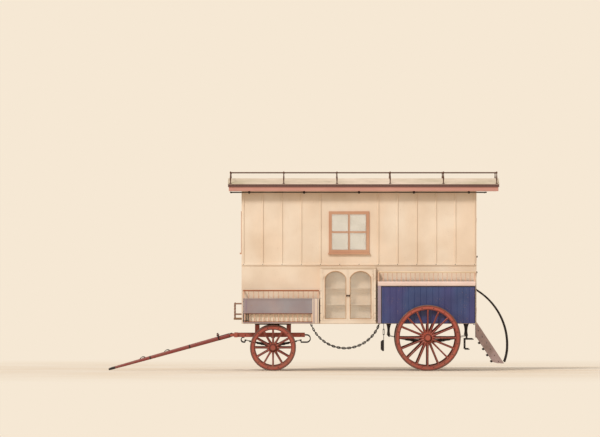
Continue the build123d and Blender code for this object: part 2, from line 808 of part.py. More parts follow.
def scroll_irons():
    """The irons that join the fore-carriage's side bars to the ends of its springs."""
    y = -front_spring_y
    span_y = (y - shackle_width / 2, y + shackle_width / 2)
    tip_top = front_wheel_radius + front_axle_square / 2 + spring_leaves * spring_leaf + front_spring_camber
    rear_tip = front_wheel_x + front_spring_length / 2
    front_tip = front_wheel_x - front_spring_length / 2
    band = scroll_band

    bar_end = front_wheel_x + side_bar_rear
    centre_x = bar_end + 2 * band
    top = side_bar_underside + side_bar_depth / 2 + band / 2
    centre_z = top - scroll_radius
    low = centre_z - scroll_radius
    rear = scroll(centre_x, centre_z, scroll_radius, y, 1)
    arms = [block((bar_end, centre_x), span_y, (top - band, top)),
            block((rear_tip, centre_x), span_y, (low, low + band)),
            block((rear_tip, rear_tip + shackle_thickness), span_y, (low, tip_top))]

    front_x = front_tip - shackle_thickness - band
    front_z = side_bar_underside - scroll_front_radius + 2
    front_low = front_z - scroll_front_radius
    front = scroll(front_x, front_z, scroll_front_radius, y, -1)
    front += block((front_x, front_x + band), span_y, (side_bar_underside - band, side_bar_underside + 2))
    front -= block((front_x - 2 * band, front_x + 2 * band), span_y,
                   (side_bar_underside, side_bar_underside + 2))
    legs = [block((front_x, front_tip), span_y, (front_low, front_low + band)),
            block((front_tip - shackle_thickness, front_tip), span_y, (front_low, tip_top))]
    paired("front_spring_irons", rear.fuse(*arms), front.fuse(*legs))


def fore_carriage():
    x = front_wheel_x
    y = front_spring_y
    half = side_bar_width / 2
    z0 = side_bar_underside
    z1 = z0 + side_bar_depth
    lower_ring = sill_underside - turntable_plate - turntable_gap - turntable_plate
    bars = [block((x - side_bar_front, x + side_bar_rear), (s * y - half, s * y + half), (z0, z1))
            for s in (-1, 1)]
    bolster_places = (x - bolster_offset, x + bolster_offset)
    bolsters = [block((b - bolster_width / 2, b + bolster_width / 2), (-y - half, y + half), (z0, lower_ring))
                for b in bolster_places]
    centre = block((x - bolster_offset, x + bolster_offset), (-king_block, king_block), (z0, z1))
    splinter_x = x - side_bar_front
    splinter_z = z0 - 5
    front_x = splinter_x - splinter_width
    splinter = block((front_x, splinter_x), (-splinter_length / 2, splinter_length / 2),
                     (splinter_z, splinter_z + splinter_depth))
    bed = bars[0].fuse(bars[1], *bolsters, centre, splinter)
    bed -= rod((x, 0, z0 - 1), (x, 0, z1 + 1), king_pin_radius + king_pin_gap)
    pivot_x = front_x - shaft_pivot_ahead
    pivot_z = splinter_z + splinter_depth / 2
    pin_half = shaft_root_size[0] / 2 + shaft_ear_gap + shaft_ear
    ears = []
    for side in (-1, 1):
        for edge in (-1, 1):
            y0 = side * shaft_root_y + edge * (shaft_root_size[0] / 2 + shaft_ear_gap)
            span_y = (y0, y0 + edge * shaft_ear)
            span_z = (pivot_z - shaft_ear_half, pivot_z + shaft_ear_half)
            ears.append(block((pivot_x, front_x), span_y, span_z))
            ears.append(rod((pivot_x, span_y[0], pivot_z), (pivot_x, span_y[1], pivot_z), shaft_ear_half))
        ears.append(rod((pivot_x, side * shaft_root_y - pin_half, pivot_z),
                        (pivot_x, side * shaft_root_y + pin_half, pivot_z), shaft_pin_radius))
    parts["fore_bed"] = bed.fuse(*ears)

    disc = Cylinder(turntable_radius, turntable_plate)
    disc -= Cylinder(turntable_radius - turntable_ring, turntable_plate)
    parts["lower_turntable"] = Pos(x, 0, lower_ring + turntable_plate / 2) * disc
    upper = Pos(x, 0, sill_underside - turntable_plate / 2) * disc
    reach = turntable_radius - turntable_ring / 2
    cross = block((x - reach, x + reach), (-turntable_cross / 2, turntable_cross / 2),
                  (sill_underside - turntable_plate, sill_underside))
    pin = rod((x, 0, z0 - king_nut - 4), (x, 0, sill_underside), king_pin_radius)
    nut = flat_rod((x, 0, z0 - king_nut - 4), (x, 0, z0 - 4), king_nut_radius)
    parts["upper_turntable"] = upper.fuse(cross, pin, nut)
    scroll_irons()
    return pivot_x, pivot_z


def shafts(pivot_x, pivot_z):
    """Made level ahead of the pivot, then let down until the tips rest on the ground."""
    tip_w, tip_h = shaft_tip_size
    root_w, root_h = shaft_root_size
    reach = math.hypot(shaft_length, tip_h / 2)
    rest = math.degrees(math.asin(pivot_z / reach) - math.atan(tip_h / 2 / shaft_length))
    pieces = {}
    stations = [(d, shaft_root_y + out, w, h) for d, out, w, h in shaft_stations]
    stations = [(0, shaft_root_y, root_w, root_h), *stations, (shaft_length, shaft_tip_y, tip_w, tip_h)]
    sections = [(Plane(origin=(-d, -y, 0), x_dir=(0, 1, 0), z_dir=(-1, 0, 0)), w, h)
                for d, y, w, h in stations]
    eye = rod((0, -shaft_root_y - root_w / 2, 0), (0, -shaft_root_y + root_w / 2, 0), root_h / 2)
    bore = shaft_pin_radius + shaft_pin_gap
    hole = rod((0, -shaft_root_y - root_w, 0), (0, -shaft_root_y + root_w, 0), bore)
    near = tapered(sections).fuse(eye) - hole
    pieces["shaft_near"] = near
    pieces["shaft_far"] = far(near)

    cross_y = shaft_root_y - root_w / 2
    half_bar = shaft_bar_size / 2
    mid_x = -shaft_bar_ahead - half_bar
    tree_z = half_bar + swingletree_lift + swingletree_size / 2
    stud_top = tree_z + swingletree_size / 2 + swingletree_stud_head
    bar = block((mid_x - half_bar, mid_x + half_bar), (-cross_y, cross_y), (-half_bar, half_bar))
    stud = rod((mid_x, 0, half_bar), (mid_x, 0, stud_top), swingletree_stud_radius)
    seat_top = tree_z - swingletree_size / 2 - swingletree_gap
    seat = rod((mid_x, 0, half_bar), (mid_x, 0, seat_top), swingletree_seat)
    pieces["shaft_bar"] = bar.fuse(stud, seat)

    half_tree = swingletree_length / 2
    end = half_tree - trace_eye_wall / 3
    low = swingletree_end / 2
    high = swingletree_size / 2
    mean = (low + high) / 2
    rings = [(-end, low), (-end / 2, mean), (0, high), (end / 2, mean), (end, low)]
    tree = Rot(90, 0, 0) * ringed(0, 0, 0, rings, 8, 180 / 8)
    eye_y = half_tree + trace_eye_radius
    half_eye = trace_eye_thickness / 2
    eyes = [rod((0, s * eye_y, -half_eye), (0, s * eye_y, half_eye), trace_eye_radius + trace_eye_wall)
            for s in (-1, 1)]
    holes = [rod((0, s * eye_y, -high), (0, s * eye_y, high), trace_eye_radius) for s in (-1, 1)]
    holes.append(rod((0, 0, -2 * high), (0, 0, 2 * high), swingletree_stud_radius + swingletree_stud_gap))
    tree = tree.fuse(*eyes)
    for cut in holes:
        tree -= cut
    pieces["swingletree"] = Pos(mid_x, 0, tree_z) * tree
    turn = Pos(pivot_x, 0, pivot_z) * Rot(0, -rest, 0)
    for name, piece in pieces.items():
        parts[name] = turn * piece
    return rest


def porch():
    foot = porch_z + porch_board
    parts["porch_board"] = block((-porch_length, 0), (-half_cabin, half_cabin), (porch_z, foot))
    post_x = -porch_length + porch_post_inset
    y = half_cabin - wall_thickness - porch_post_radius / 2
    pitch = porch_post_height / (2 * porch_post_beads)
    rings = [(pitch * i, porch_post_neck if i % 2 else porch_post_radius)
             for i in range(2 * porch_post_beads + 1)]
    post = ringed(post_x, -y, foot, rings, 6)
    heights = [foot + porch_post_height - drop for drop in porch_rail_drops]
    bars = [flat_rod((post_x, -y, z), (0, -y, z), porch_rail_radius) for z in heights]
    paired("porch_rails", post.fuse(*bars))


def steps_and_handrails():
    x0 = rear_face
    run = step_foot_x
    rise = step_top_z - step_foot_z
    slope = math.atan2(rise, run)
    across = stringer_depth / math.cos(slope)
    outline = [(x0, step_top_z), (x0 + run, step_foot_z), (x0 + run - stringer_toe, step_foot_z),
               (x0, step_top_z - across)]
    half = step_width / 2
    inside = half - stringer_width
    stringers = [side_plate(outline, s * half, s * inside) for s in (-1, 1)]
    treads = []
    for i in range(step_count):
        t = (i + 0.55) / step_count
        z = step_top_z - rise * t
        back = x0 + run * t - tread_inset
        treads.append(block((max(x0, back - tread_depth), back), (-inside, inside), (z - tread_thickness, z)))
    parts["steps"] = stringers[0].fuse(stringers[1], *treads)

    start = (x0, handrail_top_z)
    bulge = (x0 + handrail_reach, handrail_bulge_z)
    foot = (x0 + step_foot_x + 10, handrail_foot_z)
    share = 0.66
    way_down = handrail_bulge_z + (handrail_top_z - handrail_bulge_z) * share
    bow = ThreePointArc(start, (x0 + handrail_reach * share, way_down), bulge)
    tail = TangentArc(bulge, foot, tangent=bow % 1)
    path = Plane.XZ * Wire([bow, tail])
    bar = sweep(Plane(origin=path @ 0, z_dir=path % 0) * RegularPolygon(handrail_radius, 6), path=path)
    bar = bar & block((x0, x0 + 2 * handrail_reach), (-100, 100), (0, 2 * handrail_top_z))
    foot_pin = flat_rod((foot[0], 0, foot[1]), (foot[0], handrail_y - half, foot[1]), handrail_pin_radius)
    paired("handrails", Pos(0, -handrail_y, 0) * bar.fuse(foot_pin))


def chain_link(place, along, hole_way):
    """One link, long in one direction and with its hole in another. The hole is as long as the pitch."""
    half = link_pitch / 2 + chain_wire + chain_gap / 2
    wide = chain_width / 2
    cut = chain_corner
    outline = [(half, wide - cut), (half - cut, wide), (cut - half, wide), (-half, wide - cut),
               (-half, cut - wide), (cut - half, -wide), (half - cut, -wide), (half, cut - wide)]
    face = make_face(Polyline(*outline, close=True))
    face -= Rectangle(2 * (half - chain_wire), chain_width - 2 * chain_wire)
    link = extrude(face, chain_wire / 2, both=True)
    return Plane(origin=place, x_dir=along, z_dir=hole_way).location * link


def slung_chain():
    centre_x = sling_start + sling_span / 2
    centre_z = sill_underside - sling_sag + sling_radius
    middle_radius = sling_radius * math.cos(sling_step / 2)
    links = []
    for i in range(sling_links):
        angle = -sling_half_angle + sling_step * (i + 0.5)
        across, up = math.sin(angle), math.cos(angle)
        place = (centre_x + middle_radius * across, -sling_y, centre_z - middle_radius * up)
        links.append(chain_link(place, (up, 0, across), (-across, 0, up) if i % 2 else (0, 1, 0)))
    reach = (chain_gap + chain_wire) / 2 * math.cos(sling_half_angle)
    hook_top = sill_underside + sill_depth
    for i, x in ((0, sling_start - reach), (-1, sling_start + sling_span + reach)):
        hook = flat_rod((x, -sling_y, sill_underside), (x, -sling_y, hook_top), hanger_radius)
        links[i] = links[i].fuse(hook)
    paired("belly_chains", *links)


def drag_shoe():
    """An iron shoe that goes under a rear wheel on hills, here hung on its short chain."""
    half = shoe_width / 2
    t = shoe_thickness
    y = -shoe_y
    top = case_underside - shoe_links * link_pitch - chain_wire - chain_gap
    bottom = top - shoe_height
    outline = [(-half, 0), (half, 0), (half, shoe_flange), (half - t, shoe_flange), (half - t, t),
               (-half + t, t), (-half + t, shoe_flange), (-half, shoe_flange)]
    base = Plane(origin=(shoe_x, y, bottom), x_dir=(0, 1, 0), z_dir=(0, 0, 1))
    pan = extrude(base * make_face(Polyline(*outline, close=True)), shoe_height)
    back = shoe_x - shoe_flange
    pan &= side_plate([(shoe_x, bottom), (shoe_x, top), (back + shoe_corner, top), (back, top - shoe_corner),
                       (back, bottom + shoe_corner), (back + shoe_corner, bottom)], y - half, y + half)
    first = top + (link_pitch + chain_gap) / 2
    chain_x = shoe_x - t / 2
    links = [chain_link((chain_x, y, first + i * link_pitch), (0, 0, 1), (0, 1, 0) if i % 2 else (1, 0, 0))
             for i in range(shoe_links)]
    links[0] = links[0].fuse(pan)
    plate = block((chain_x - half, chain_x + half), (y - chain_wire, y + chain_wire),
                  (case_underside - t / 2, case_underside))
    links[-1] = links[-1].fuse(plate)
    parts["drag_shoe"] = Compound(links)


cabin_roof()
roof_rails()
floor()
side_walls()
end_walls()
windows()
rear_doors()
front_cases()
cabinets()
lockers()
hanging_rails()
running_gear()
pivot_x, pivot_z = fore_carriage()
shaft_rest = shafts(pivot_x, pivot_z)
porch()
steps_and_handrails()
slung_chain()
drag_shoe()

os.makedirs("parts", exist_ok=True)
boxes = [piece.bounding_box() for piece in parts.values()]
middle = (min(b.min.X for b in boxes) + max(b.max.X for b in boxes)) / 2
for name, piece in parts.items():
    export_step(Pos(-middle, 0, 0) * piece, f"parts/{name}.step")
print("pieces", len(parts), "middle", middle, "pivot", pivot_x - middle, pivot_z, "rest", shaft_rest)
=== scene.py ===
import json
import math

import bpy
import numpy as np
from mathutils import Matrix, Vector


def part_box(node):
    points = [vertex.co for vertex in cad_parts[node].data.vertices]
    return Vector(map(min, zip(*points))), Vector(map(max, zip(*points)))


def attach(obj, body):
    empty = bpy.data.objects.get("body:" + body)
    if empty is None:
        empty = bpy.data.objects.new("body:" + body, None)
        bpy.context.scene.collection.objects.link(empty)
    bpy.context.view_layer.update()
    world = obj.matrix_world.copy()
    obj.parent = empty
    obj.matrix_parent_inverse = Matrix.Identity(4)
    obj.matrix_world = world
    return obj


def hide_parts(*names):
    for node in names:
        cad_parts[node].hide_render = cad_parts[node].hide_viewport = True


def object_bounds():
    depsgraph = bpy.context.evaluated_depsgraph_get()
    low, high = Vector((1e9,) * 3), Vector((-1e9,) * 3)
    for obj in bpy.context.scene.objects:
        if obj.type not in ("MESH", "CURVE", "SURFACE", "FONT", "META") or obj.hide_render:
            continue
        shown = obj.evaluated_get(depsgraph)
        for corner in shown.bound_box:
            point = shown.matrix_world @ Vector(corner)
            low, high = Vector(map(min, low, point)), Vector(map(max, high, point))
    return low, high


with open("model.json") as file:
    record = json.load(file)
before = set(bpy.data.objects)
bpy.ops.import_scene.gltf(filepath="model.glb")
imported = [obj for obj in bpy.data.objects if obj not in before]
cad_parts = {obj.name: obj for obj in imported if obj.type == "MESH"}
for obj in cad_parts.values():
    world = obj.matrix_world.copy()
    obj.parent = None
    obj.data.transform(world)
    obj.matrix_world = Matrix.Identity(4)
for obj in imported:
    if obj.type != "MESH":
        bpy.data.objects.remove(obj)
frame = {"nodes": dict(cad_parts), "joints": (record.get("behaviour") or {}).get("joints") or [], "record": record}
cad_low, cad_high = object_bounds()
joint_at = {joint["name"]: np.array(joint["pos_m"]) for joint in frame["joints"]}
sides = {"near": -1, "far": 1}

# The picture of the van: its size in pixels, the metres that a pixel covers, the row of the ground and the
# column of the model's middle. The camera's distance and sensor are in metres too.
PICTURE = (600, 437)
PIXEL = 0.018
GROUND_ROW = 371
MIDDLE_COLUMN = 308.4
CAMERA_DISTANCE = 200.0
SENSOR = 0.036


def span(node):
    """A node's two corners at rest, as arrays."""
    low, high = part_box(node)
    return np.array(low), np.array(high)


# Sizes in metres that several pieces share. Across the van they are measured from its middle.
FRONT, BACK = span("side_wall_near")[0][0], span("side_wall_near")[1][0]
CASE_LOW, CASE_HIGH = span("front_case_near")
WALL = abs(CASE_HIGH[1])
NOSING = 0.008
CASE_FACE = abs(CASE_LOW[1]) - NOSING
CASE_BOARD = 0.022
RACK_FOOT, RACK_TOP = CASE_LOW[2] + CASE_BOARD, 1.037
RAIL = 0.026
TURN = 2 * math.pi

# Colours as they look on a screen, from 0 to 255
CREAM, CREAM_SHADE = (238, 220, 198), (214, 188, 160)
RED, RED_DEEP, SHAFT_RED = (184, 88, 66), (132, 52, 42), (128, 40, 38)
ROOF, ROOF_DEEP, ROOF_STAIN, ROOF_EDGE = (238, 214, 192), (200, 182, 152), (150, 126, 100), (100, 68, 60)
IRON, RUST, TYRE = (42, 36, 34), (104, 66, 46), (112, 96, 88)
WOOD, WOOD_DEEP = (164, 126, 88), (108, 76, 50)
DIRT, DUST = (120, 98, 78), (240, 232, 214)
PAPER, PAPER_SHADE, PAPER_LIT = (236, 222, 204), (228, 208, 182), (246, 232, 212)

# Oil paints: the colour when new, the faded colour and the way of the brush. Some have a wash, which shows in
# broad patches, and one has a lining colour, cream inside a front case's open rack: painted light against its
# shade.
OIL_PAINTS = {
    "cream_boards": (CREAM, CREAM_SHADE, "z", (238, 214, 188)),
    "fascia_paint": ((206, 150, 134), (184, 126, 112), "x"),
    "window_paint": ((204, 158, 126), (176, 120, 90), "z"),
    "mauve_panel": ((178, 156, 150), (136, 114, 114), "z", (152, 154, 158), CREAM),
    "gallery_paint": ((168, 98, 58), (136, 74, 44), "x"),
    "cabinet_paint": (CREAM, CREAM_SHADE, "z"),
    "locker_blue": ((68, 68, 120), (36, 38, 82), "z", (58, 84, 128)),
    "gear_red": (RED, RED_DEEP, "x"),
    "shaft_red": (SHAFT_RED, RED_DEEP, "x"),
    "step_paint": ((190, 164, 158), (138, 116, 116), "x"),
    "door_paint": (RED, RED_DEEP, "z"),
    "spindle_paint": ((226, 190, 162), (196, 146, 116), "z"),
    "cream_rail": ((236, 214, 182), (206, 170, 132), "x"),
    "rim_paint": ((240, 216, 204), (216, 184, 168), "x"),
    "bead_paint": ((206, 164, 122), (170, 122, 86), "z"),
    "corner_paint": ((170, 152, 160), (140, 116, 128), "z"),
    "wheel_lining": ((104, 42, 34), (74, 30, 28), "z"),
    # Dark strips on the lockers: the one under the rim is painted shadow, the others are dark lines at the ends.
    "locker_shadow_and_line": ((38, 32, 48), (24, 20, 30), "z"),
    # A near-white board behind the open racks: painted light that lifts the shade in them.
    "pale_lining_painted_light": ((246, 232, 208), (232, 210, 180), "z"),
    "porch_paint": ((146, 106, 84), (112, 76, 60), "z"),
}


def linear(colour):
    """A screen colour as the linear colour that a shader takes."""
    share = np.array(colour) / 255
    return tuple(np.where(share <= 0.04045, share / 12.92, ((share + 0.055) / 1.055) ** 2.4)) + (1.0,)


class Value:
    """A socket in a node tree. Arithmetic on it adds Math nodes."""

    def __init__(self, tree, socket):
        self.tree = tree
        self.socket = socket

    def maths(self, operation, *others):
        return self.tree.node("ShaderNodeMath", {"operation": operation}, dict(enumerate((self,) + others)))

    def __add__(self, other):
        return self.maths("ADD", other)

    def __sub__(self, other):
        return self.maths("SUBTRACT", other)

    def __mul__(self, other):
        return self.maths("MULTIPLY", other)

    def __rsub__(self, other):
        return self.tree.node("ShaderNodeMath", {"operation": "SUBTRACT"}, {0: other, 1: self})

    __radd__ = __add__
    __rmul__ = __mul__

    def between(self, low, high):
        """0 below low, 1 above high and straight between."""
        inputs = {0: self, 1: low, 2: high, 3: 0.0, 4: 1.0}
        return self.tree.node("ShaderNodeMapRange", {"clamp": True}, inputs)


class Tree:
    """A node tree in the making, and the one method that adds a node to it."""

    def __init__(self, tree):
        self.nodes = tree.nodes
        self.links = tree.links
        self.nodes.clear()

    def node(self, kind, settings, inputs, output=0):
        """Adds a node, sets it up and feeds its sockets. Gives back one output, where the node has any."""
        made = self.nodes.new(kind)
        for name, value in settings.items():
            setattr(made, name, value)
        for name, value in inputs.items():
            if isinstance(value, Value):
                self.links.new(value.socket, made.inputs[name])
            else:
                made.inputs[name].default_value = value
        return Value(self, made.outputs[output]) if len(made.outputs) else None


class Paint(Tree):
    """A material with one shader. Its patterns read Object coordinates, in metres."""

    def __init__(self, name, constants):
        self.material = bpy.data.materials.new(name)
        self.material.use_nodes = True
        super().__init__(self.material.node_tree)
        self.shader = self.node("ShaderNodeBsdfPrincipled", {}, constants)
        self.place = self.node("ShaderNodeTexCoord", {}, {}, "Object")

    def feed(self, socket, value):
        self.links.new(value.socket, self.shader.socket.node.inputs[socket])

    def done(self, surface=None):
        """Ends the tree in its shader, or in another surface, and gives back the material."""
        self.node("ShaderNodeOutputMaterial", {}, {"Surface": surface or self.shader})
        return self.material

    def stretched(self, scale, offset=(0, 0, 0)):
        inputs = {"Vector": self.place, "Location": offset, "Scale": scale}
        return self.node("ShaderNodeMapping", {}, inputs)

    def noise(self, scale, detail=3.0, vector=None, roughness=0.5):
        inputs = {"Vector": vector or self.place, "Scale": scale, "Detail": detail, "Roughness": roughness}
        return self.node("ShaderNodeTexNoise", {}, inputs)

    def mix(self, share, first, second):
        """A colour that goes from the first to the second as the share goes from 0 to 1."""
        return self.node("ShaderNodeMix", {"data_type": "RGBA"}, {0: share, 6: first, 7: second}, 2)

    def along(self, axis):
        """Where a point is along an axis (0, 1 or 2). Along 2 it is its height above the ground."""
        return self.node("ShaderNodeSeparateXYZ", {}, {0: self.place}, axis)

    def off(self, axis, middle, distance):
        """1 where a point is further than a distance from a middle plane."""
        return (self.along(axis) - middle).maths("ABSOLUTE").maths("GREATER_THAN", distance)

    def bump(self, height, strength, distance):
        inputs = {"Strength": strength, "Distance": distance, "Height": height}
        self.feed("Normal", self.node("ShaderNodeBump", {}, inputs))


GRAIN = {"x": (2.0, 38.0, 38.0), "z": (38.0, 38.0, 2.0)}


def case_inside(paint):
    """1 inside a front case's open rack, where painted light goes: behind the panel's back, under the top and
    between the ends.
    """
    middle, half = (CASE_LOW[0] + CASE_HIGH[0]) / 2, (CASE_HIGH[0] - CASE_LOW[0]) / 2
    behind = 1 - paint.off(1, 0.0, CASE_FACE - CASE_BOARD - 0.0005)
    under = 1 - paint.along(2).maths("GREATER_THAN", RACK_TOP - 0.0005)
    return behind * under * (1 - paint.off(0, middle, half - 0.002))


def painted(name, new, faded, grain, wash=None, lining=None):
    """Oil paint on wood: a slow fade, brush marks along the grain, road dirt low down and a few chips."""
    paint = Paint(name, {"Roughness": 0.42})
    brush = paint.noise(3.0, 4.0, paint.stretched(GRAIN[grain]))
    fade = paint.noise(1.7, 3.0).between(0.34, 0.68)
    colour = linear(new)
    if wash:
        cloud = paint.noise(1.1, 2.0, paint.stretched((1.6, 1.6, 1.0), (3.1, 0.4, 1.7))).between(0.42, 0.6)
        colour = paint.mix(cloud * 0.8, colour, linear(wash))
    colour = paint.mix(fade * 0.55 + brush * 0.25, colour, linear(faded))
    # The lining colour inside a front case's open rack is painted light: paler paint that lightens the rack's
    # shade.
    if lining:
        colour = paint.mix(case_inside(paint), colour, linear(lining))
    low_down = 1 - paint.along(2).between(0.0, 0.9)
    dirt = low_down * paint.noise(9.0, 4.0).between(0.35, 0.75) * 0.6
    colour = paint.mix(dirt, colour, linear(DIRT))
    speck = paint.noise(60.0, 5.0, roughness=0.65).between(0.62, 0.67)
    chip = speck * paint.noise(4.5, 2.0).between(0.5, 0.62)
    paint.feed("Base Color", paint.mix(chip, colour, linear(WOOD)))
    paint.feed("Roughness", brush * 0.2 + chip * 0.3 + 0.34)
    paint.bump(brush - chip * 0.8, 0.25, 0.0012)
    return paint.done()


def floor_wood():
    """Weathered timber: long noise along the grain for the figure, with finer cracks."""
    paint = Paint("floor_wood", {"Roughness": 0.75})
    figure = paint.noise(1.6, 6.0, paint.stretched(GRAIN["x"]), 0.62)
    crack = paint.noise(5.0, 3.0, paint.stretched(GRAIN["x"])).between(0.60, 0.70)
    body = paint.mix(figure.between(0.3, 0.7), linear(WOOD), linear(WOOD_DEEP))
    paint.feed("Base Color", paint.mix(crack * 0.6, body, linear(WOOD_DEEP)))
    paint.feed("Roughness", 0.62 + figure * 0.25)
    paint.bump(figure - crack, 0.45, 0.0015)
    return paint.done()


def black_iron(name, rust=0.66, colour=IRON):
    """Wrought iron, painted black: hammered bumps, and rust where the noise is over the rust's level."""
    paint = Paint(name, {"Roughness": 0.45, "Metallic": 0.35})
    hammer = paint.noise(42.0, 3.0)
    rusty = paint.noise(13.0, 5.0, roughness=0.7).between(rust, rust + 0.12)
    paint.feed("Base Color", paint.mix(rusty, linear(colour), linear(RUST)))
    paint.feed("Roughness", 0.36 + hammer * 0.2 + rusty * 0.3)
    paint.feed("Metallic", 0.55 - rusty * 0.5)
    paint.bump(hammer + rusty * 0.5, 0.25, 0.001)
    return paint.done()


def tyre_iron():
    """Bare iron, bright where it has run on the road and brown elsewhere."""
    paint = Paint("tyre_iron", {"Roughness": 0.4, "Metallic": 0.75})
    worn = paint.noise(22.0, 5.0, roughness=0.65).between(0.42, 0.62)
    scratch = paint.noise(6.0, 4.0, paint.stretched((60.0, 4.0, 60.0)))
    paint.feed("Base Color", paint.mix(worn, linear(TYRE), linear(RUST)))
    paint.feed("Roughness", 0.34 + worn * 0.35 + scratch * 0.15)
    paint.feed("Metallic", 0.8 - worn * 0.6)
    paint.bump(worn + scratch, 0.3, 0.0008)
    return paint.done()


def roof_canvas():
    """Painted canvas: two crossed waves for the weave, faded patches, and a dark board round its edge."""
    paint = Paint("roof_canvas", {"Roughness": 0.7})
    weave = [paint.node("ShaderNodeTexWave", {"bands_direction": way, "wave_profile": "SIN"},
                        {"Vector": paint.place, "Scale": 190.0}, 1) for way in "XY"]
    fade = paint.noise(1.1, 4.0).between(0.35, 0.7)
    stain = paint.noise(5.0, 5.0, roughness=0.7).between(0.5, 0.72)
    body = paint.mix(stain * 0.35, paint.mix(fade, linear(ROOF), linear(ROOF_DEEP)), linear(ROOF_STAIN))
    low, high = span("roof")
    middle, half = (low + high) / 2, (high - low) / 2 - 0.0015
    edge = paint.off(1, 0.0, half[1]).maths("MAXIMUM", paint.off(0, middle[0], half[0]))
    paint.feed("Base Color", paint.mix(edge, body, linear(ROOF_EDGE)))
    paint.feed("Roughness", 0.62 + fade * 0.2)
    paint.bump(weave[0] * weave[1] + stain * 0.6, 0.25, 0.0008)
    return paint.done()


def pane_glass():
    """Old sheet glass: clear, with slow waves in its surface and a film of dust."""
    paint = Paint("pane_glass", {"Roughness": 0.06, "IOR": 1.45, "Base Color": linear(DUST)})
    dust = paint.noise(3.0, 4.0).between(0.3, 0.8)
    paint.feed("Alpha", 0.12 + dust * 0.14)
    paint.feed("Roughness", 0.05 + dust * 0.12)
    paint.bump(paint.noise(7.0, 1.0), 0.15, 0.002)
    return paint.done()


finish = {name: painted(name, *row) for name, row in OIL_PAINTS.items()}
finish.update({
    "roof_paint": roof_canvas(),
    "window_glass": pane_glass(),
    "floor_wood": floor_wood(),
    "tyre_iron": tyre_iron(),
    "black_iron": black_iron("black_iron"),
    "spring_steel": black_iron("spring_steel", 0.6),
    "roof_iron": black_iron("roof_iron", 0.7, (96, 66, 52)),
    "knob_iron": black_iron("knob_iron", 0.72, (58, 42, 34)),
})


def dress_frame():
    """Each node takes the finish of its material slot in the record, apart from the lockers' paler rims."""
    for part in frame["record"]["subparts"]:
        paint = "rim_paint" if part["node"] == "locker_rims" else part["material_slot"]
        mesh = frame["nodes"][part["node"]].data
        mesh.materials.clear()
        mesh.materials.append(finish[paint])


class Shell:
    """A closed skin of flat faces, in metres. Faces are kept in groups by their number of corners."""

    def __init__(self, points, groups):
        self.points = np.asarray(points, float)
        self.groups = [np.asarray(g, int) for g in groups]
        if self.volume() < 0:
            self.groups = [g[:, ::-1] for g in self.groups]

    def volume(self):
        """The sum over every face's fan of a . (b x c) / 6. It is negative where the skin is inside out."""
        total = 0.0
        for group in self.groups:
            corner = self.points[group]
            total += np.einsum("fk,fnk->", corner[:, 0], np.cross(corner[:, 1:-1], corner[:, 2:]))
        return total / 6

    def copies(self, places, turns=None):
        """The shell once at each place, turned first by one matrix or by one for each place."""
        places = np.asarray(places, float).reshape(-1, 3)
        turns = np.broadcast_to(np.eye(3) if turns is None else turns, (len(places), 3, 3))
        points = np.einsum("nij,pj->npi", turns, self.points) + places[:, None]
        starts = np.arange(len(places))[:, None, None] * len(self.points)
        groups = [(g[None] + starts).reshape(-1, g.shape[1]) for g in self.groups]
        return Shell(points.reshape(-1, 3), groups)


def joined(shells):
    """Several shells as one."""
    starts = np.cumsum([0] + [len(s.points) for s in shells])
    parts = [g + start for s, start in zip(shells, starts) for g in s.groups]
    corners = sorted({g.shape[1] for g in parts})
    groups = [np.concatenate([g for g in parts if g.shape[1] == n]) for n in corners]
    return Shell(np.concatenate([s.points for s in shells]), groups)


def skin(rings, round_path=False):
    """A skin over rings of points, shaped (rings, points, 3): quads between each ring and the next, and a
    flat face at either end. Where the path runs round, the last ring joins the first."""
    count, corners = rings.shape[:2]
    row = np.arange(count if round_path else count - 1)[:, None]
    column = np.arange(corners)[None]
    after, beside = (row + 1) % count, (column + 1) % corners
    quads = np.broadcast_arrays(row * corners + column, row * corners + beside,
                                after * corners + beside, after * corners + column)
    groups = [np.stack(quads, -1).reshape(-1, 4)]
    if not round_path:
        first = np.arange(corners)
        groups.append(np.stack([first[::-1], first + (count - 1) * corners]))
    return Shell(rings.reshape(-1, 3), groups)


def unit(vectors):
    return vectors / np.linalg.norm(vectors, axis=-1, keepdims=True)


def carried(path, outline, up=(0, 0, 1), round_path=False):
    """An outline of (across, above) carried along a path. At each point, across is up x the path's way and
    above is the way x across. The outline is one for all points or one for each."""
    path = np.asarray(path, float)
    if round_path:
        way = unit(np.roll(path, -1, 0) - np.roll(path, 1, 0))
    else:
        way = unit(np.gradient(path, axis=0))
    across = unit(np.cross(np.broadcast_to(up, way.shape), way))
    above = np.cross(way, across)
    outline = np.broadcast_to(outline, (len(path),) + np.shape(outline)[-2:])
    rings = path[:, None] + outline[..., :1] * across[:, None] + outline[..., 1:] * above[:, None]
    return skin(rings, round_path)


def even(count, start=0.0):
    """Angles at even steps round a full turn."""
    return start + np.arange(count) * TURN / count


def circle(radius, corners):
    """Points (r cos a, r sin a). Several radii give one circle each."""
    angle = even(corners)
    return np.stack([np.cos(angle), np.sin(angle)], -1) * np.asarray(radius)[..., None, None]


def oval(width, height, power, corners):
    """A superellipse: (w/2 sgn(cos a)|cos a|^(2/power), h/2 sgn(sin a)|sin a|^(2/power))."""
    shape = circle(1.0, corners)
    shape = np.sign(shape) * abs(shape) ** (2 / power)
    return shape * np.stack(np.broadcast_arrays(width, height), -1)[..., None, :] / 2


def tube(path, radius, corners=10, up=(0, 0, 1), round_path=False):
    return carried(path, circle(radius, corners), up, round_path)


def bar(start, end, radius, corners=10, count=4, up=(0, 0, 1)):
    """A straight round bar."""
    return tube(np.linspace(start, end, count), radius, corners, up)


def turned(profile, corners):
    """A shape from the lathe, upright at the origin: rows of (height, radius) swept round Z."""
    height, radius = np.asarray(profile, float).T
    ring = circle(radius, corners)
    return skin(np.concatenate([ring, np.broadcast_to(height[:, None, None], ring.shape[:2] + (1,))], -1))


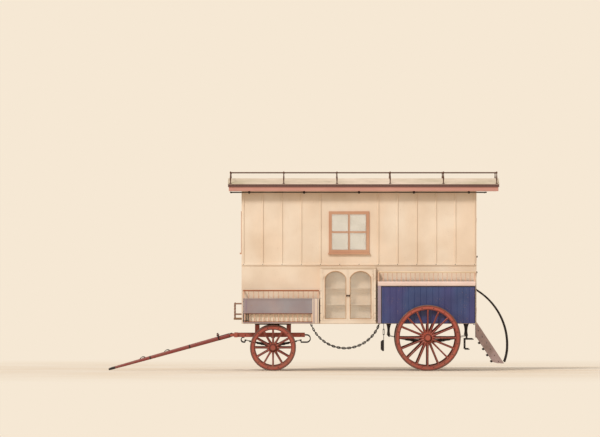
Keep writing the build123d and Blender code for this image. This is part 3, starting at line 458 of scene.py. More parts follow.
def hooped(section, angles, round_path=False):
    """Rows of (y, radius) swept round Y through the angles: points (r cos a, y, r sin a)."""
    y, radius = np.asarray(section, float).T
    wide = np.broadcast_to(y, (len(angles), len(y)))
    rings = np.stack([np.outer(np.cos(angles), radius), wide, np.outer(np.sin(angles), radius)], -1)
    return skin(rings, round_path)


def both_ways(half):
    """Rows of (along, radius), followed by their mirror image in reverse."""
    return half + [(-along, radius) for along, radius in half[::-1]]


def board(corner, opposite, bevel=0.003):
    """A straight board between two corners, its twelve edges bevelled: four rings of eight points, the end
    rings drawn in by the bevel."""
    low, high = np.minimum(corner, opposite), np.maximum(corner, opposite)
    b = min(bevel, (high - low).min() / 2.5)

    def ring(z, inset):
        x, y = low[:2] + inset
        u, v = high[:2] - inset
        return [(x + b, y, z), (u - b, y, z), (u, y + b, z), (u, v - b, z), (u - b, v, z), (x + b, v, z),
                (x, v - b, z), (x, y + b, z)]

    rings = ((low[2], b * 0.9), (low[2] + b, 0), (high[2] - b, 0), (high[2], b * 0.9))
    return skin(np.array([ring(z, inset) for z, inset in rings]))


def about(axis, angles):
    """Rotation matrices about X or Y, one for each angle."""
    angles = np.asarray(angles, float)
    c, s, o, l = np.cos(angles), np.sin(angles), np.zeros_like(angles), np.ones_like(angles)
    rows = {"x": (l, o, o, o, c, -s, o, s, c), "y": (c, o, s, o, l, o, -s, o, c)}
    return np.stack(rows[axis], -1).reshape(angles.shape + (3, 3))


# Turns that point a shape from the lathe out of each side of the van
OUT = {"near": about("x", math.pi / 2), "far": about("x", -math.pi / 2),
       "front": about("y", -math.pi / 2), "back": about("y", math.pi / 2)}


def heads(places, way, radius, height):
    """Bolt heads on a face that looks one way: quarter ellipses swept round, with a small flat on top."""
    t = np.array([0.0, 0.35, 0.75, 1.0]) * math.pi / 2
    dome = turned(np.stack([height * np.sin(t), radius * np.cos(t) + radius * 0.08], -1), 8)
    return dome.copies(places, OUT[way])


def lattice(*axes):
    """Every combination of the values on each axis, as points."""
    return np.stack(np.meshgrid(*axes, indexing="ij"), -1).reshape(-1, 3)


def in_scene(name, data):
    """An object of the data, linked to the scene."""
    obj = bpy.data.objects.new(name, data)
    bpy.context.scene.collection.objects.link(obj)
    return obj


def piece(name, shells, paint, slot=None, stands_for=(), body="van"):
    """Makes one mesh of the shells, riding on a body, in place of the nodes it stands for. The slot argument
    is not used."""
    shell = joined(shells)
    corners = np.concatenate([g.ravel() for g in shell.groups])
    totals = np.concatenate([np.full(len(g), g.shape[1]) for g in shell.groups])
    mesh = bpy.data.meshes.new(name)
    mesh.vertices.add(len(shell.points))
    mesh.vertices.foreach_set("co", shell.points.ravel())
    mesh.loops.add(len(corners))
    mesh.loops.foreach_set("vertex_index", corners)
    mesh.polygons.add(len(totals))
    mesh.polygons.foreach_set("loop_start", np.concatenate([[0], np.cumsum(totals)[:-1]]))
    mesh.update(calc_edges=True)
    mesh.shade_smooth()
    mesh.set_sharp_from_angle(angle=math.radians(38))
    mesh.materials.append(finish[paint])
    obj = in_scene(name, mesh)
    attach(obj, body)
    if stands_for:
        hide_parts(*stands_for)
    slot or paint


# A spindle from foot to head: its share of the height, and of the greatest radius
SPINDLE = [(0.0, 0.62), (0.02, 0.95), (0.05, 0.95), (0.07, 0.55), (0.11, 0.5), (0.14, 0.8), (0.24, 1.0),
           (0.36, 0.96), (0.5, 0.62), (0.64, 0.42), (0.72, 0.45), (0.75, 0.85), (0.78, 0.85), (0.81, 0.5),
           (0.93, 0.62), (1.0, 0.62)]
SPINDLE_RADIUS = 0.0115


def spindle_row(x0, x1, y, z0, z1, count):
    """Turned spindles at even places between two square posts."""
    vase = turned([(t * (z1 - z0), r * SPINDLE_RADIUS) for t, r in SPINDLE], 10)
    half = RAIL / 2
    pitch = (x1 - x0 - RAIL) / (count + 1)
    row = vase.copies(lattice(x0 + half + pitch * (np.arange(count) + 1), [y], [z0]))
    return [row] + [board((x, y - half, z0), (x + RAIL, y + half, z1), 0.004) for x in (x0, x1 - RAIL)]


def gallery(node, foot, count):
    """Spindles on both sides of the van, from a foot's height up to a round-edged rail, which returns to the
    wall at either end. Gives back the turning and the rails."""
    low, high = span(node)
    rows, rails = [], []
    for out in sides.values():
        y, z = out * (abs(low[1]) - RAIL / 2), high[2] - RAIL
        rows += spindle_row(low[0], high[0], y, foot, z, count)
        rails.append(board((low[0], y - RAIL / 2, z), (high[0], y + RAIL / 2, high[2]), 0.007))
        rails += [board((x, y, z), (x + RAIL, out * WALL, high[2]), 0.007) for x in (low[0], high[0] - RAIL)]
    return rows, rails


def front_galleries():
    """The galleries over the front cases and in their open racks, with a near-white board behind the racks:
    painted light against their shade.
    """
    low, high = span("front_galleries")
    rows, rails = gallery("front_galleries", CASE_HIGH[2], 14)
    x0, x1, reeded_end = low[0] + CASE_BOARD, high[0] - CASE_BOARD, 0.090
    behind, thickness, lap = 0.800, 0.008, 0.004
    painted_light_linings = []
    for out in sides.values():
        y = out * (abs(low[1]) - RAIL / 2)
        rows += spindle_row(x0, x1 - reeded_end, y, RACK_FOOT + RAIL / 2, RACK_TOP - RAIL / 2, 13)
        rails += [board((x0, y - RAIL / 2, z), (x1, y + RAIL / 2, z + RAIL / 2))
                  for z in (RACK_FOOT, RACK_TOP - RAIL / 2)]
        # A near-white board just behind the spindles, painted light against the rack's shade.
        painted_light_linings.append(board((x0 - lap, out * behind, RACK_FOOT - 0.006),
                             (x1 + lap, out * (behind + thickness), RACK_TOP + lap), 0.001))
    piece("front_pale_lining_painted_light", painted_light_linings, "pale_lining_painted_light", "mauve_panel")
    piece("front_gallery_turning", rows, "spindle_paint", "gallery_paint")
    piece("front_gallery_rails", rails, "gallery_paint", stands_for=["front_galleries"])


def locker_galleries():
    """The galleries on the lockers' rims."""
    rows, rails = gallery("locker_galleries", span("locker_galleries")[0][2], 20)
    piece("locker_gallery_turning", rows, "spindle_paint", "gallery_paint")
    piece("locker_gallery_rails", rails, "cream_rail", "gallery_paint", ["locker_galleries"])


# A hub along its axis, outwards, with its radius. A hoop along it, with its radius and width.
HUB = [(-0.110, 0.050), (-0.110, 0.060), (-0.106, 0.063), (-0.095, 0.063), (-0.092, 0.058), (-0.075, 0.060),
       (-0.050, 0.070), (-0.036, 0.077), (-0.030, 0.079), (0.030, 0.079), (0.036, 0.077), (0.046, 0.066),
       (0.060, 0.061), (0.080, 0.056), (0.095, 0.053), (0.104, 0.053), (0.110, 0.049), (0.110, 0.034)]
HOOPS = [(-0.100, 0.0625, 0.016), (-0.044, 0.0755, 0.010), (0.044, 0.0700, 0.010), (0.098, 0.0545, 0.018)]
# A spoke's width and depth at shares of its length from the hub
SPOKE_WIDTH = ([0, 0.08, 0.25, 0.7, 0.93, 1], [0.042, 0.041, 0.032, 0.028, 0.031, 0.030])
SPOKE_DEPTH = ([0, 0.08, 0.3, 0.8, 1], [0.050, 0.048, 0.040, 0.034, 0.034])
SPOKE_ROOT = 0.068
FELLOE_DEPTH = 0.074
FELLOE_HALF = 0.028
TYRE_THICKNESS = 0.014
TYRE_HALF = 0.030


def round_axle(shell, count, start=0.0):
    """A shell repeated at even angles about Y."""
    return shell.copies(np.zeros((count, 3)), about("y", even(count, start)))


def felloe(inner, outer, count):
    """One of a rim's bent timbers, bevelled inside, with a hair's gap at either joint."""
    share, gap = TURN / count, 0.0012 / outer
    bevel, arris = 0.011, 0.003
    section = both_ways([(bevel - FELLOE_HALF, inner), (-FELLOE_HALF, inner + bevel),
                         (-FELLOE_HALF, outer - arris), (arris - FELLOE_HALF, outer)])
    return hooped(section, np.linspace(gap, share - gap, 14))


def spoke(tip, dish):
    """An oval that swells at both ends, from the hub, which stands out by the dish, to the rim."""
    t = np.linspace(0, 1, 11)
    shape = oval(np.interp(t, *SPOKE_WIDTH), np.interp(t, *SPOKE_DEPTH), 2.6, 14)
    reach = np.broadcast_to((SPOKE_ROOT + (tip - SPOKE_ROOT) * t)[:, None], shape.shape[:2])
    return skin(np.stack([reach, (dish * (1 - t))[:, None] + shape[..., 1], shape[..., 0]], -1))


def spoke_stripe(tip, dish, face):
    """A painted line along a spoke's outer or inner face, half sunk in it."""
    reach = np.linspace(0.100, tip - 0.020, 5)
    t = (reach - SPOKE_ROOT) / (tip - SPOKE_ROOT)
    y = dish * (1 - t) + face * np.interp(t, *SPOKE_DEPTH) / 2
    half, below, above = 0.0065, -0.002, 0.0015
    corners = ((below, -half), (below, half), (above, half), (above, -half))
    return skin(np.stack([np.stack([reach, y + dy, np.full(5, dz)], -1) for dy, dz in corners], 1))


def hoop(at, radius, width):
    """An iron band round the hub, its outer edges bevelled."""
    edge, lip = -width / 2, 0.0015
    band = both_ways([(edge, radius - 0.004), (edge, radius + lip), (edge + lip, radius + 2 * lip)])
    return turned([(at + along, r) for along, r in band], 40)


def wheel_lines(inner, outer):
    """Painted lines near both edges of both faces of the rim, and a dark core that shows in the joints."""
    bands = [(r - 0.004, r + 0.004, y - 0.0008, y + 0.0008)
             for r in (inner + 0.014, outer - 0.012) for y in (-FELLOE_HALF, FELLOE_HALF)]
    bands.append((inner + 0.005, outer - 0.002, 0.004 - FELLOE_HALF, FELLOE_HALF - 0.004))
    return [hooped([(y0, r0), (y0, r1), (y1, r1), (y1, r0)], even(96), True) for r0, r1, y0, y1 in bands]


def wheel(end, side, spokes):
    """A wooden wheel: felloes, spokes, a turned hub with iron hoops, painted lines and a bolted tyre."""
    name = f"{end}_{side}"
    low, high = span("tyre_" + name)
    centre = (low + high) / 2
    dish = sum(span("wheel_" + name))[1] / 2 - centre[1]
    radius = (high[0] - low[0]) / 2
    outer = radius - TYRE_THICKNESS
    inner = outer - FELLOE_DEPTH
    tip = inner + 0.004
    hub, half_step = (0, dish, 0), math.pi / spokes

    wood = [round_axle(felloe(inner, outer, spokes // 2), spokes // 2, half_step),
            round_axle(spoke(tip, dish), spokes), turned(HUB, 40).copies(hub, OUT[side])]
    bolt = heads(((inner + outer) / 2, sides[side] * FELLOE_HALF, 0), side, 0.008, 0.005)
    irons = [hoop(*row).copies(hub, OUT[side]) for row in HOOPS]
    irons.append(round_axle(bolt, spokes, half_step))
    lines = wheel_lines(inner, outer)
    lines += [round_axle(spoke_stripe(tip, dish, face), spokes) for face in (-1, 1)]
    section = both_ways([(-TYRE_HALF, outer), (-TYRE_HALF, radius - 0.004),
                         (0.0015 - TYRE_HALF, radius - 0.001), (0.005 - TYRE_HALF, radius)])
    tyre = [hooped(section, even(112), True)]

    for kind, shells, paint, slot, stands_for in (
            ("wheel_wood_", wood, "gear_red", None, ["wheel_" + name]),
            ("wheel_irons_", irons, "black_iron", None, ()),
            ("wheel_lines_", lines, "wheel_lining", "gear_red", ()),
            ("tyre_iron_", tyre, "tyre_iron", None, ["tyre_" + name])):
        piece(kind + name, [s.copies(centre) for s in shells], paint, slot, stands_for, "wheel_" + name)


def roof_rail():
    """A round rail on turned posts, each with a ball over it and a foot on the roof."""
    low, high = span("roof_rail")
    foot_z, rail_z, inset = high[2] - 0.222, high[2] - 0.022, 0.020
    x = (low[0] + inset, high[0] - inset)
    y = (low[1] + inset, high[1] - inset)
    corners = [(x[0], y[0], rail_z), (x[1], y[0], rail_z), (x[1], y[1], rail_z), (x[0], y[1], rail_z)]
    bars = [bar(start, end, 0.0085, 12, 24) for start, end in zip(corners, corners[1:] + corners[:1])]
    post = [(-0.012, 0.020), (0.004, 0.021), (0.010, 0.020), (0.013, 0.012), (0.028, 0.009), (0.060, 0.011),
            (0.095, 0.014), (0.130, 0.011), (0.165, 0.008), (0.182, 0.009), (0.188, 0.014), (0.210, 0.014),
            (0.213, 0.010), (0.216, 0.0095), (0.2185, 0.007), (0.2218, 0.002)]
    bars.append(turned(post, 14).copies(lattice(np.linspace(*x, 6), y, [foot_z])))
    piece("roof_rail_turning", bars, "roof_iron", "black_iron", ["roof_rail"])


def hanging_rails():
    """Two round rails with collars, on brackets that end in a rose at the wall."""
    low, high = span("hanging_rails")
    z = (low[2] + high[2]) / 2
    places = np.linspace(FRONT + 0.13, BACK - 0.13, 5)
    rose = turned([(0, 0.024), (0.004, 0.024), (0.007, 0.018), (0.016, 0.0095)], 14)
    collar = turned(both_ways([(-0.013, 0.006), (-0.012, 0.0125)]), 14)
    bars = []
    for side, out in sides.items():
        y = out * (abs(low[1]) - 0.009)
        bars.append(bar((low[0], y, z), (high[0], y, z), 0.0088, 12, 40))
        bars += [bar((x, y, z), (x, out * WALL, z), 0.0065, 10, 8) for x in places]
        bars.append(rose.copies(lattice(places, [out * (WALL + 0.001)], [z]), OUT[side]))
        collars = [low[0] + 0.013, high[0] - 0.013, *places]
        bars.append(collar.copies(lattice(collars, [y], [z]), OUT["back"]))
    piece("hanging_rail_bars", bars, "black_iron", stands_for=["hanging_rails"])


def arc_through(start, middle, end, count):
    """Points on the circle through three (x, z) points, whose centre c solves
    2 (p - start) . c = |p|^2 - |start|^2 for the other two."""
    a, b, c = (np.asarray(p, float) for p in (start, middle, end))
    centre = np.linalg.solve(2 * np.array([b - a, c - a]), [b @ b - a @ a, c @ c - a @ a])
    angles = np.unwrap([math.atan2(*(p - centre)[::-1]) for p in (a, b, c)])
    turn = np.linspace(angles[0], angles[2], count)
    return centre + np.linalg.norm(a - centre) * np.stack([np.cos(turn), np.sin(turn)], -1)


def arc_onward(start, way, end, count):
    """An arc that leaves start in a direction and ends at end: its radius is |d|^2 / (2 d . n)."""
    normal, d = np.array([-way[1], way[0]]), end - start
    centre = start + normal * (d @ d) / (2 * (d @ normal))
    middle = centre + unit((start + end) / 2 - centre) * np.linalg.norm(start - centre)
    return arc_through(start, middle, end, count)


def handrails():
    """A bowed round rail each side of the steps, with a rose at the wall, a ball and a pin at its foot."""
    y, top, reach, bulge_z = 0.340, 1.462, 0.573, 0.420
    foot_x, foot_z, stringer = BACK + 0.524, 0.168, 0.279
    share = 0.66
    middle = (BACK + reach * share, bulge_z + (top - bulge_z) * share)
    bow = arc_through((BACK, top), middle, (BACK + reach, bulge_z), 48)
    tail = arc_onward(bow[-1], unit(bow[-1] - bow[-2]), np.array([foot_x, foot_z]), 14)
    line = np.concatenate([bow, tail[1:]])
    rose = turned([(0, 0.036), (0.004, 0.036), (0.008, 0.028), (0.022, 0.0165)], 18)
    ball = turned([(0.018 * math.sin(a), 0.018 * math.cos(a)) for a in np.linspace(-1.5, 1.5, 11)], 14)
    bars = []
    for out in sides.values():
        foot = (foot_x, out * y, foot_z)
        bars.append(tube(np.insert(line, 1, out * y, axis=1), 0.0155, 16, (0, 1, 0)))
        bars.append(bar(foot, (foot_x, out * stringer, foot_z), 0.010, 12, 6))
        bars.append(rose.copies((BACK, out * y, top - 0.004), OUT["back"]))
        bars.append(ball.copies(foot))
    piece("handrail_bars", bars, "black_iron", stands_for=["handrails"])


def porch_rails():
    """Beaded posts at the porch's front corners, with two rails each back to the wall."""
    low, high = span("porch_rails")
    x = low[0] + 0.0125
    t = np.linspace(0, 1, 61)
    bead = 0.0088 + 0.0050 * np.abs(np.cos(t * 5 * math.pi)) ** 0.7
    bead[-2:] = 0.008, 0.003
    post = turned(np.stack([t * (high[2] - low[2]), bead], -1), 16)
    wood = []
    for out in sides.values():
        y = out * (abs(low[1]) - 0.0121)
        wood.append(post.copies((x, y, low[2])))
        wood += [bar((x, y, z), (FRONT, y, z), 0.0085, 12, 6) for z in (high[2] - 0.020, high[2] - 0.210)]
    piece("porch_turning", wood, "porch_paint", "black_iron", ["porch_rails"])


def chains():
    """Round links along the same arc as the solid chain's, every other one turned a quarter round."""
    count, start, length, sag, y, top = 34, FRONT + 1.242, 1.240, 0.448, 0.520, 0.846
    radius = (length ** 2 / 4 + sag ** 2) / (2 * sag)
    half = math.asin(length / 2 / radius)
    step = 2 * half / count
    pitch = 2 * radius * math.sin(step / 2)
    middle_x = start + length / 2

    wire, link_half = 0.0050, 0.0120
    a = even(20, TURN / 40)
    ring = link_half * np.stack([np.cos(a), np.sin(a), 0 * a], -1)
    ring[:, 0] += (pitch / 2 + wire - link_half) * np.sign(ring[:, 0])
    link = tube(ring, wire, 8, round_path=True)

    angles = -half + step * (np.arange(count) + 0.5)
    quarter = np.where(np.arange(count) % 2, 0.0, math.pi / 2)
    turns = about("y", -angles) @ about("x", quarter)
    arc = radius * math.cos(step / 2) * np.stack([np.sin(angles), 0 * angles, -np.cos(angles)], -1)
    iron = []
    for out in sides.values():
        iron.append(link.copies(arc + (middle_x, out * y, top - sag + radius), turns))
        for x in (middle_x - length / 2 - 0.003, middle_x + length / 2 + 0.003):
            iron.append(bar((x, out * y, top - 0.004), (x, out * y, top + 0.086), 0.0075, 10, 8, (1, 0, 0)))
    piece("belly_chain_links", iron, "black_iron", stands_for=["belly_chains"])


LEAF = 0.008
LEAF_WIDTH = 0.058


def leaf(i, half, camber):
    """The leaf that is i below the longest: a parabola z = camber (x / half)^2, narrowed at its tips."""
    reach = half * (1 - 0.14 * i)
    x = reach * np.linspace(-1, 1, 41)
    width = LEAF_WIDTH * np.interp(reach - abs(x), [0, 0.05, 0.1], [0.62, 0.94, 1.0])
    path = np.stack([x, 0 * x, camber * (x / half) ** 2 - LEAF * (i + 0.5)], -1)
    return carried(path, oval(width, np.full(41, LEAF * 0.96), 9, 16))


def u_bolt(x):
    """A round iron over the spring and down both its sides, with its ends under the plate."""
    y, foot = LEAF_WIDTH / 2 + 0.006, -0.066
    a = np.linspace(0, math.pi, 13)
    over = np.stack([np.full(13, x), y * np.cos(a), 0.004 + 0.012 * np.sin(a)], -1)
    return tube(np.concatenate([[(x, y, foot)], over, [(x, -y, foot)]]), 0.0055, 8, (1, 0, 0))


def springs(end, y, top, half, camber, body):
    """A pair of leaf springs, worked out from the middle of the longest leaf's top: six leaves, an eye at
    each end, U-bolts through a plate with their nuts, and two clips."""
    eye = turned(both_ways([(-LEAF_WIDTH * 0.31, 0.009), (-LEAF_WIDTH * 0.31, 0.0125)]), 16)
    steel = [leaf(i, half, camber) for i in range(6)]
    steel.append(eye.copies(lattice([0.004 - half, half - 0.004], [0], [camber - 0.0135]), OUT["near"]))

    bolt_x = 0.036
    nut = turned([(0, 0.010), (0.0105, 0.010)], 6)
    iron = [u_bolt(-bolt_x), u_bolt(bolt_x), board((-0.055, -0.041, -0.0585), (0.055, 0.041, -0.0485), 0.002),
            nut.copies(lattice([-bolt_x, bolt_x], [-0.035, 0.035], [-0.0685]))]
    clip_y = LEAF_WIDTH / 2 + 0.003
    for x in (-0.84 * half, 0.84 * half):
        z = camber * (x / half) ** 2 - LEAF * 1.2
        iron.append(board((x - 0.009, -clip_y, z - LEAF * 1.3), (x + 0.009, clip_y, z + LEAF * 1.5)))

    name = end + "_springs"
    places = lattice([joint_at[end + "_near_wheel_spin"][0]], [-y, y], [top])
    piece(name + "_leaves", [s.copies(places) for s in steel], "spring_steel", stands_for=[name], body=body)
    piece(name + "_clips", [s.copies(places) for s in iron], "black_iron", body=body)


# A shaft at some places: how far it is from its pin and from the van's middle, its width and its height
SHAFT = np.array([(0.00, 0.330, 0.062, 0.072), (0.35, 0.330, 0.060, 0.070), (0.90, 0.336, 0.056, 0.064),
                  (1.40, 0.344, 0.050, 0.058), (1.85, 0.334, 0.044, 0.050), (2.15, 0.300, 0.038, 0.042),
                  (2.30, 0.270, 0.034, 0.038)])
SHAFT_LENGTH, SHAFT_TIP = SHAFT[-1, 0], SHAFT[-1, 3] / 2
SHAFT_Y = SHAFT[0, 1]
SHAFT_POWER = 3.2
SHAFT_PIN = joint_at["shaft_lift"]
SHAFT_DROP = (math.asin(SHAFT_PIN[2] / math.hypot(SHAFT_LENGTH, SHAFT_TIP))
              - math.atan(SHAFT_TIP / SHAFT_LENGTH))


def drawn(name, shells, paint, stands_for=(), body="shafts"):
    """A piece worked out along level shafts, from their pin, let down until the tips lie on the ground."""
    lowered = [s.copies(SHAFT_PIN, about("y", -SHAFT_DROP)) for s in shells]
    piece(name, lowered, paint, stands_for=stands_for, body=body)


def shaft(side, out):
    """A steamed and shaved shaft: a smooth line through the places of the table, a superellipse in section,
    with an iron eye at the root, straps, bands, a bound tip and the loops that harness goes through."""
    t = np.linspace(0.036, SHAFT_LENGTH - 0.001, 56)
    y, wide, high = (np.interp(t, SHAFT[:, 0], SHAFT[:, column]) for column in (1, 2, 3))
    y[2:-2] = np.convolve(y, np.ones(5) / 5, "valid")
    shaved = np.full(56, 0.985)
    shaved[0] *= 0.93
    shaved[-1] *= 0.8
    wide, high = wide * shaved, high * shaved
    path = np.stack([-t, out * y, 0 * t], -1)
    wood = [carried(path, oval(wide, high, SHAFT_POWER, 20))]
    drawn("shaft_wood_" + side, wood, "shaft_red", ["shaft_" + side])

    eye = turned(both_ways([(-0.031, 0.0095), (-0.031, 0.033), (-0.028, 0.0355)]), 28)
    irons = [eye.copies((0, out * SHAFT_Y, 0), OUT["near"])]
    for z in (-0.0345, 0.0345):
        strap = [(-x, out * SHAFT_Y, z) for x in (0.02, 0.20, 0.24)]
        irons.append(carried(strap, oval([0.040, 0.036, 0.020], [0.006, 0.006, 0.004], 6, 12)))
    for at in (0.235, 0.78, 1.52):
        across, width, height = (np.interp(at, t, v) for v in (y, wide, high))
        band = [(-at + x, out * across, 0) for x in (-0.011, 0.011)]
        irons.append(carried(band, oval([width + 0.003] * 2, [height + 0.003] * 2, SHAFT_POWER, 20)))
    a = np.linspace(0, math.pi, 15)
    for at in (1.20, 1.66):
        across, top = np.interp(at, t, y), np.interp(at, t, high) / 2 - 0.002
        loop = np.stack([0.045 * np.cos(a) - at, np.full(15, out * across), 0.026 * np.sin(a) + top], -1)
        irons.append(tube(loop, 0.0048, 8, (0, 1, 0)))
    end = t > SHAFT_LENGTH - 0.13
    binding = oval(wide[end] + 0.002, high[end] + 0.002, SHAFT_POWER, 20)
    irons.append(carried(path[end] + (0.0012, 0, 0), binding))
    drawn("shaft_irons_" + side, irons, "black_iron")


def swingletree():
    """The bar between the shafts, and the swingletree on its stud: wood that swells to its middle, with an
    eye and a ferrule at each end and two collars."""
    x, z = -0.235, 0.064
    half_bar, half_tree = 0.299, 0.376
    cross = board((x - 0.025, -half_bar, -0.025), (x + 0.025, half_bar, 0.025), 0.008)
    stud = turned([(0.025, 0.030), (0.0385, 0.030), (0.040, 0.0285), (0.040, 0.012), (0.0875, 0.012),
                   (0.0885, 0.019), (0.0935, 0.019), (0.098, 0.014), (0.1005, 0.006)], 20)
    drawn("shaft_cross_bar", [cross], "shaft_red", ["shaft_bar"])
    drawn("swingletree_stud", [stud.copies((x, 0, 0))], "black_iron")

    s = np.linspace(-half_tree, half_tree, 33)
    swell = 0.0135 + 0.0092 * (1 - (s / half_tree) ** 2)
    swell[[0, -1]] *= 0.9
    tree = turned(np.stack([s, swell], -1), 20).copies((x, 0, z), OUT["near"])
    drawn("swingletree_wood", [tree], "shaft_red", ["swingletree"], "swingletree")
    eye = tube(np.insert(circle(0.018, 24), 2, 0.0, axis=1), 0.0058, 10, round_path=True)
    ferrule = turned([(-0.022, 0.0145), (-0.020, 0.0170), (0.020, 0.0160), (0.022, 0.0130)], 20)
    collar = turned(both_ways([(-0.020, 0.020), (-0.018, 0.0245)]), 20)
    irons = []
    for side, out in sides.items():
        irons.append(eye.copies((x, out * 0.392, z)))
        irons.append(ferrule.copies((x, out * 0.352, z), OUT[side]))
        irons.append(collar.copies((x, out * 0.035, z), OUT["near"]))
    drawn("swingletree_irons", irons, "black_iron", body="swingletree")


CABINET_DOORS = [(f"{end}_{side}", end, side) for side in sides for end in ("front", "rear")]


def cabinet_beads():
    """A half-round bead round each arched pane: straight sides and foot, and an arc over them."""
    for name, end, side in CABINET_DOORS:
        low, high = span("cabinet_glass_" + name)
        rise = 0.7 * (high[0] - low[0] + 0.068) / 2 - 0.034
        spring = high[2] - rise
        arch = arc_through((high[0], spring), ((low[0] + high[0]) / 2, high[2]), (low[0], spring), 21)
        left = np.linspace((low[0], spring), (low[0], low[2]), 12)
        foot = np.linspace((low[0], low[2]), (high[0], low[2]), 8)
        right = np.linspace((high[0], low[2]), (high[0], spring), 12)
        line = np.concatenate([arch, left[1:], foot[1:], right[1:-1]])
        path = np.insert(line, 1, sides[side] * (CASE_FACE + 0.001), axis=1)
        bead = tube(path, 0.006, 8, (0, 1, 0), True)
        piece("cabinet_bead_" + name, [bead], "bead_paint", "gallery_paint", body="cabinet_door_" + name)


def cabinet_knobs():
    """A turned knob over each cabinet door's pull, with a small plate behind it."""
    knob = turned([(0.0, 0.017), (0.003, 0.017), (0.005, 0.0115), (0.012, 0.0105), (0.016, 0.0135),
                   (0.0205, 0.014), (0.0235, 0.011), (0.0248, 0.005)], 20)
    inset, z = 0.017, 1.354
    for name, end, side in CABINET_DOORS:
        low, high = span("cabinet_door_" + name)
        x = high[0] - inset if end == "front" else low[0] + inset
        made = knob.copies((x, sides[side] * CASE_FACE, z), OUT[side])
        piece("cabinet_knob_" + name, [made], "knob_iron", "black_iron", body="cabinet_door_" + name)


def upright(x, y, foot, top, radius=0.0055):
    """A round upright, such as a reed."""
    return bar((x, y, foot), (x, y, top), radius, up=(1, 0, 0))


def case_ends():
    """Reeds near the front end of each front case's panel, and a reeded cream post at its rear end."""
    post_width, proud = 0.118, 0.0075
    front, rear, foot, top = CASE_LOW[0], CASE_HIGH[0], CASE_LOW[2], CASE_HIGH[2]
    panel_foot, panel_top = RACK_TOP + CASE_BOARD + 0.001, top - CASE_BOARD - 0.001
    reeds, posts = [], []
    for out in sides.values():
        y = out * (CASE_FACE + proud)
        reeds += [upright(front + x, out * CASE_FACE, panel_foot, panel_top) for x in (0.050, 0.066)]
        reeds += [upright(rear - x, y, foot + 0.004, top - 0.004) for x in (0.100, 0.076, 0.028)]
        posts.append(board((rear - post_width, out * (CASE_FACE - 0.0005), foot + 0.001),
                           (rear - 0.001, y + out * 0.001, top - 0.001), 0.002))
    piece("case_reeds", reeds, "corner_paint", "mauve_panel")
    piece("case_posts", posts, "cabinet_paint")


def locker_trim():
    """A corner board at the front end of each locker, a dark strip under its rim that is painted shadow, and dark
    lines down both ends.
    """
    low, high = span("locker_near")
    rim = span("locker_rims")[0][2]
    foot, head, front, line = low[2] + 0.001, rim - 0.020, low[0] + 0.058, 0.014
    # The first strip, under the rim, is painted shadow; the other two are dark lines down the ends.
    rim_shadow_and_end_lines = ((front, high[0], head, rim), (front, front + line, foot, head),
              (high[0] - line, high[0], foot, head))
    corners, lines = [], []
    for out in sides.values():
        y0, y1 = out * (CASE_FACE - 0.002), out * (CASE_FACE + 0.0045)
        corners.append(board((low[0], y0, foot), (front, y1, rim), 0.002))
        lines += [board((x0, y0, z0), (x1, y1, z1), 0.002) for x0, x1, z0, z1 in rim_shadow_and_end_lines]
    piece("locker_corners", corners, "corner_paint", "mauve_panel")
    piece("locker_shadow_and_lines", lines, "locker_shadow_and_line", "mauve_panel")


def corner_rack():
    """The short rack of iron bars at the front of each open rack: three uprights and two rails."""
    x, foot, top = CASE_LOW[0], 0.879, 1.056
    bars = []
    for y in (-CASE_FACE - 0.0005, CASE_FACE + 0.0005):
        bars += [upright(x + at, y, foot, top, 0.0062) for at in (0.006, 0.054, 0.102)]
        bars += [bar((x - 0.004, y, z), (x + 0.112, y, z), 0.0050) for z in (0.905, 1.046)]
    piece("corner_bars", bars, "black_iron")


def end_walls():
    """Corner boards and ribs on the front and back walls, like those of the sides, and a waist rail in front.
    The ribs stop for the window and the doors."""
    eaves, waist_low, waist_high = 3.325, 1.900, 1.934
    ledge, window_head, door_head, sill = 2.099, 2.875, 2.880, 0.862
    window_half, door_half = 0.36, 0.40
    corner_y, corner_width = 0.645, 0.056
    wood = []
    for place, out in ((FRONT, -1), (BACK, 1)):
        x0, x1 = place - out * 0.001, place + out * NOSING
        for y in np.arange(-5, 6) * 0.11:
            if out > 0:
                lengths = [(door_head if abs(y) < door_half else sill, eaves)]
            elif abs(y) < window_half:
                lengths = [(waist_high, ledge), (window_head, eaves)]
            else:
                lengths = [(waist_high, eaves)]
            wood += [board((x0, y - 0.010, foot), (x1, y + 0.010, top)) for foot, top in lengths]
        wood += [board((x0, way * corner_y, 0.850), (x1, way * (corner_y + corner_width), eaves))
                 for way in (-1, 1)]
    wood.append(board((FRONT - 0.012, -corner_y, waist_low), (FRONT + 0.001, corner_y, waist_high), 0.004))
    piece("end_wall_ribs", wood, "cream_boards")


def body_bolts():
    """Bolts up both ends of each case, locker and cabinet, and one where each rib meets the waist rail."""
    rib_x = np.linspace(FRONT + 0.026, BACK - 0.026, 13)
    rib_face, waist_z = abs(span("side_wall_near")[0][1]), 1.917
    bolts = []
    for side, out in sides.items():
        for node in ("front_case_", "locker_", "cabinet_"):
            low, high = span(node + side)
            heights = np.linspace(low[2] + 0.05, min(high[2], 1.5) - 0.06, 5)
            ends = (low[0] + CASE_BOARD / 2, high[0] - CASE_BOARD / 2)
            bolts.append(heads(lattice(ends, [out * CASE_FACE], heights), side, 0.006, 0.003))
        bolts.append(heads(lattice(rib_x, [out * rib_face], [waist_z]), side, 0.007, 0.004))
    piece("body_bolts", bolts, "black_iron")


def roof_tacks():
    """Tacks along both edges of the roof's canvas."""
    low, high = span("roof")
    x, z = np.arange(low[0] + 0.03, high[0], 0.06), 3.337
    tacks = [heads(lattice(x, [out * high[1]], [z]), side, 0.006, 0.003) for side, out in sides.items()]
    piece("roof_tacks", tacks, "black_iron")


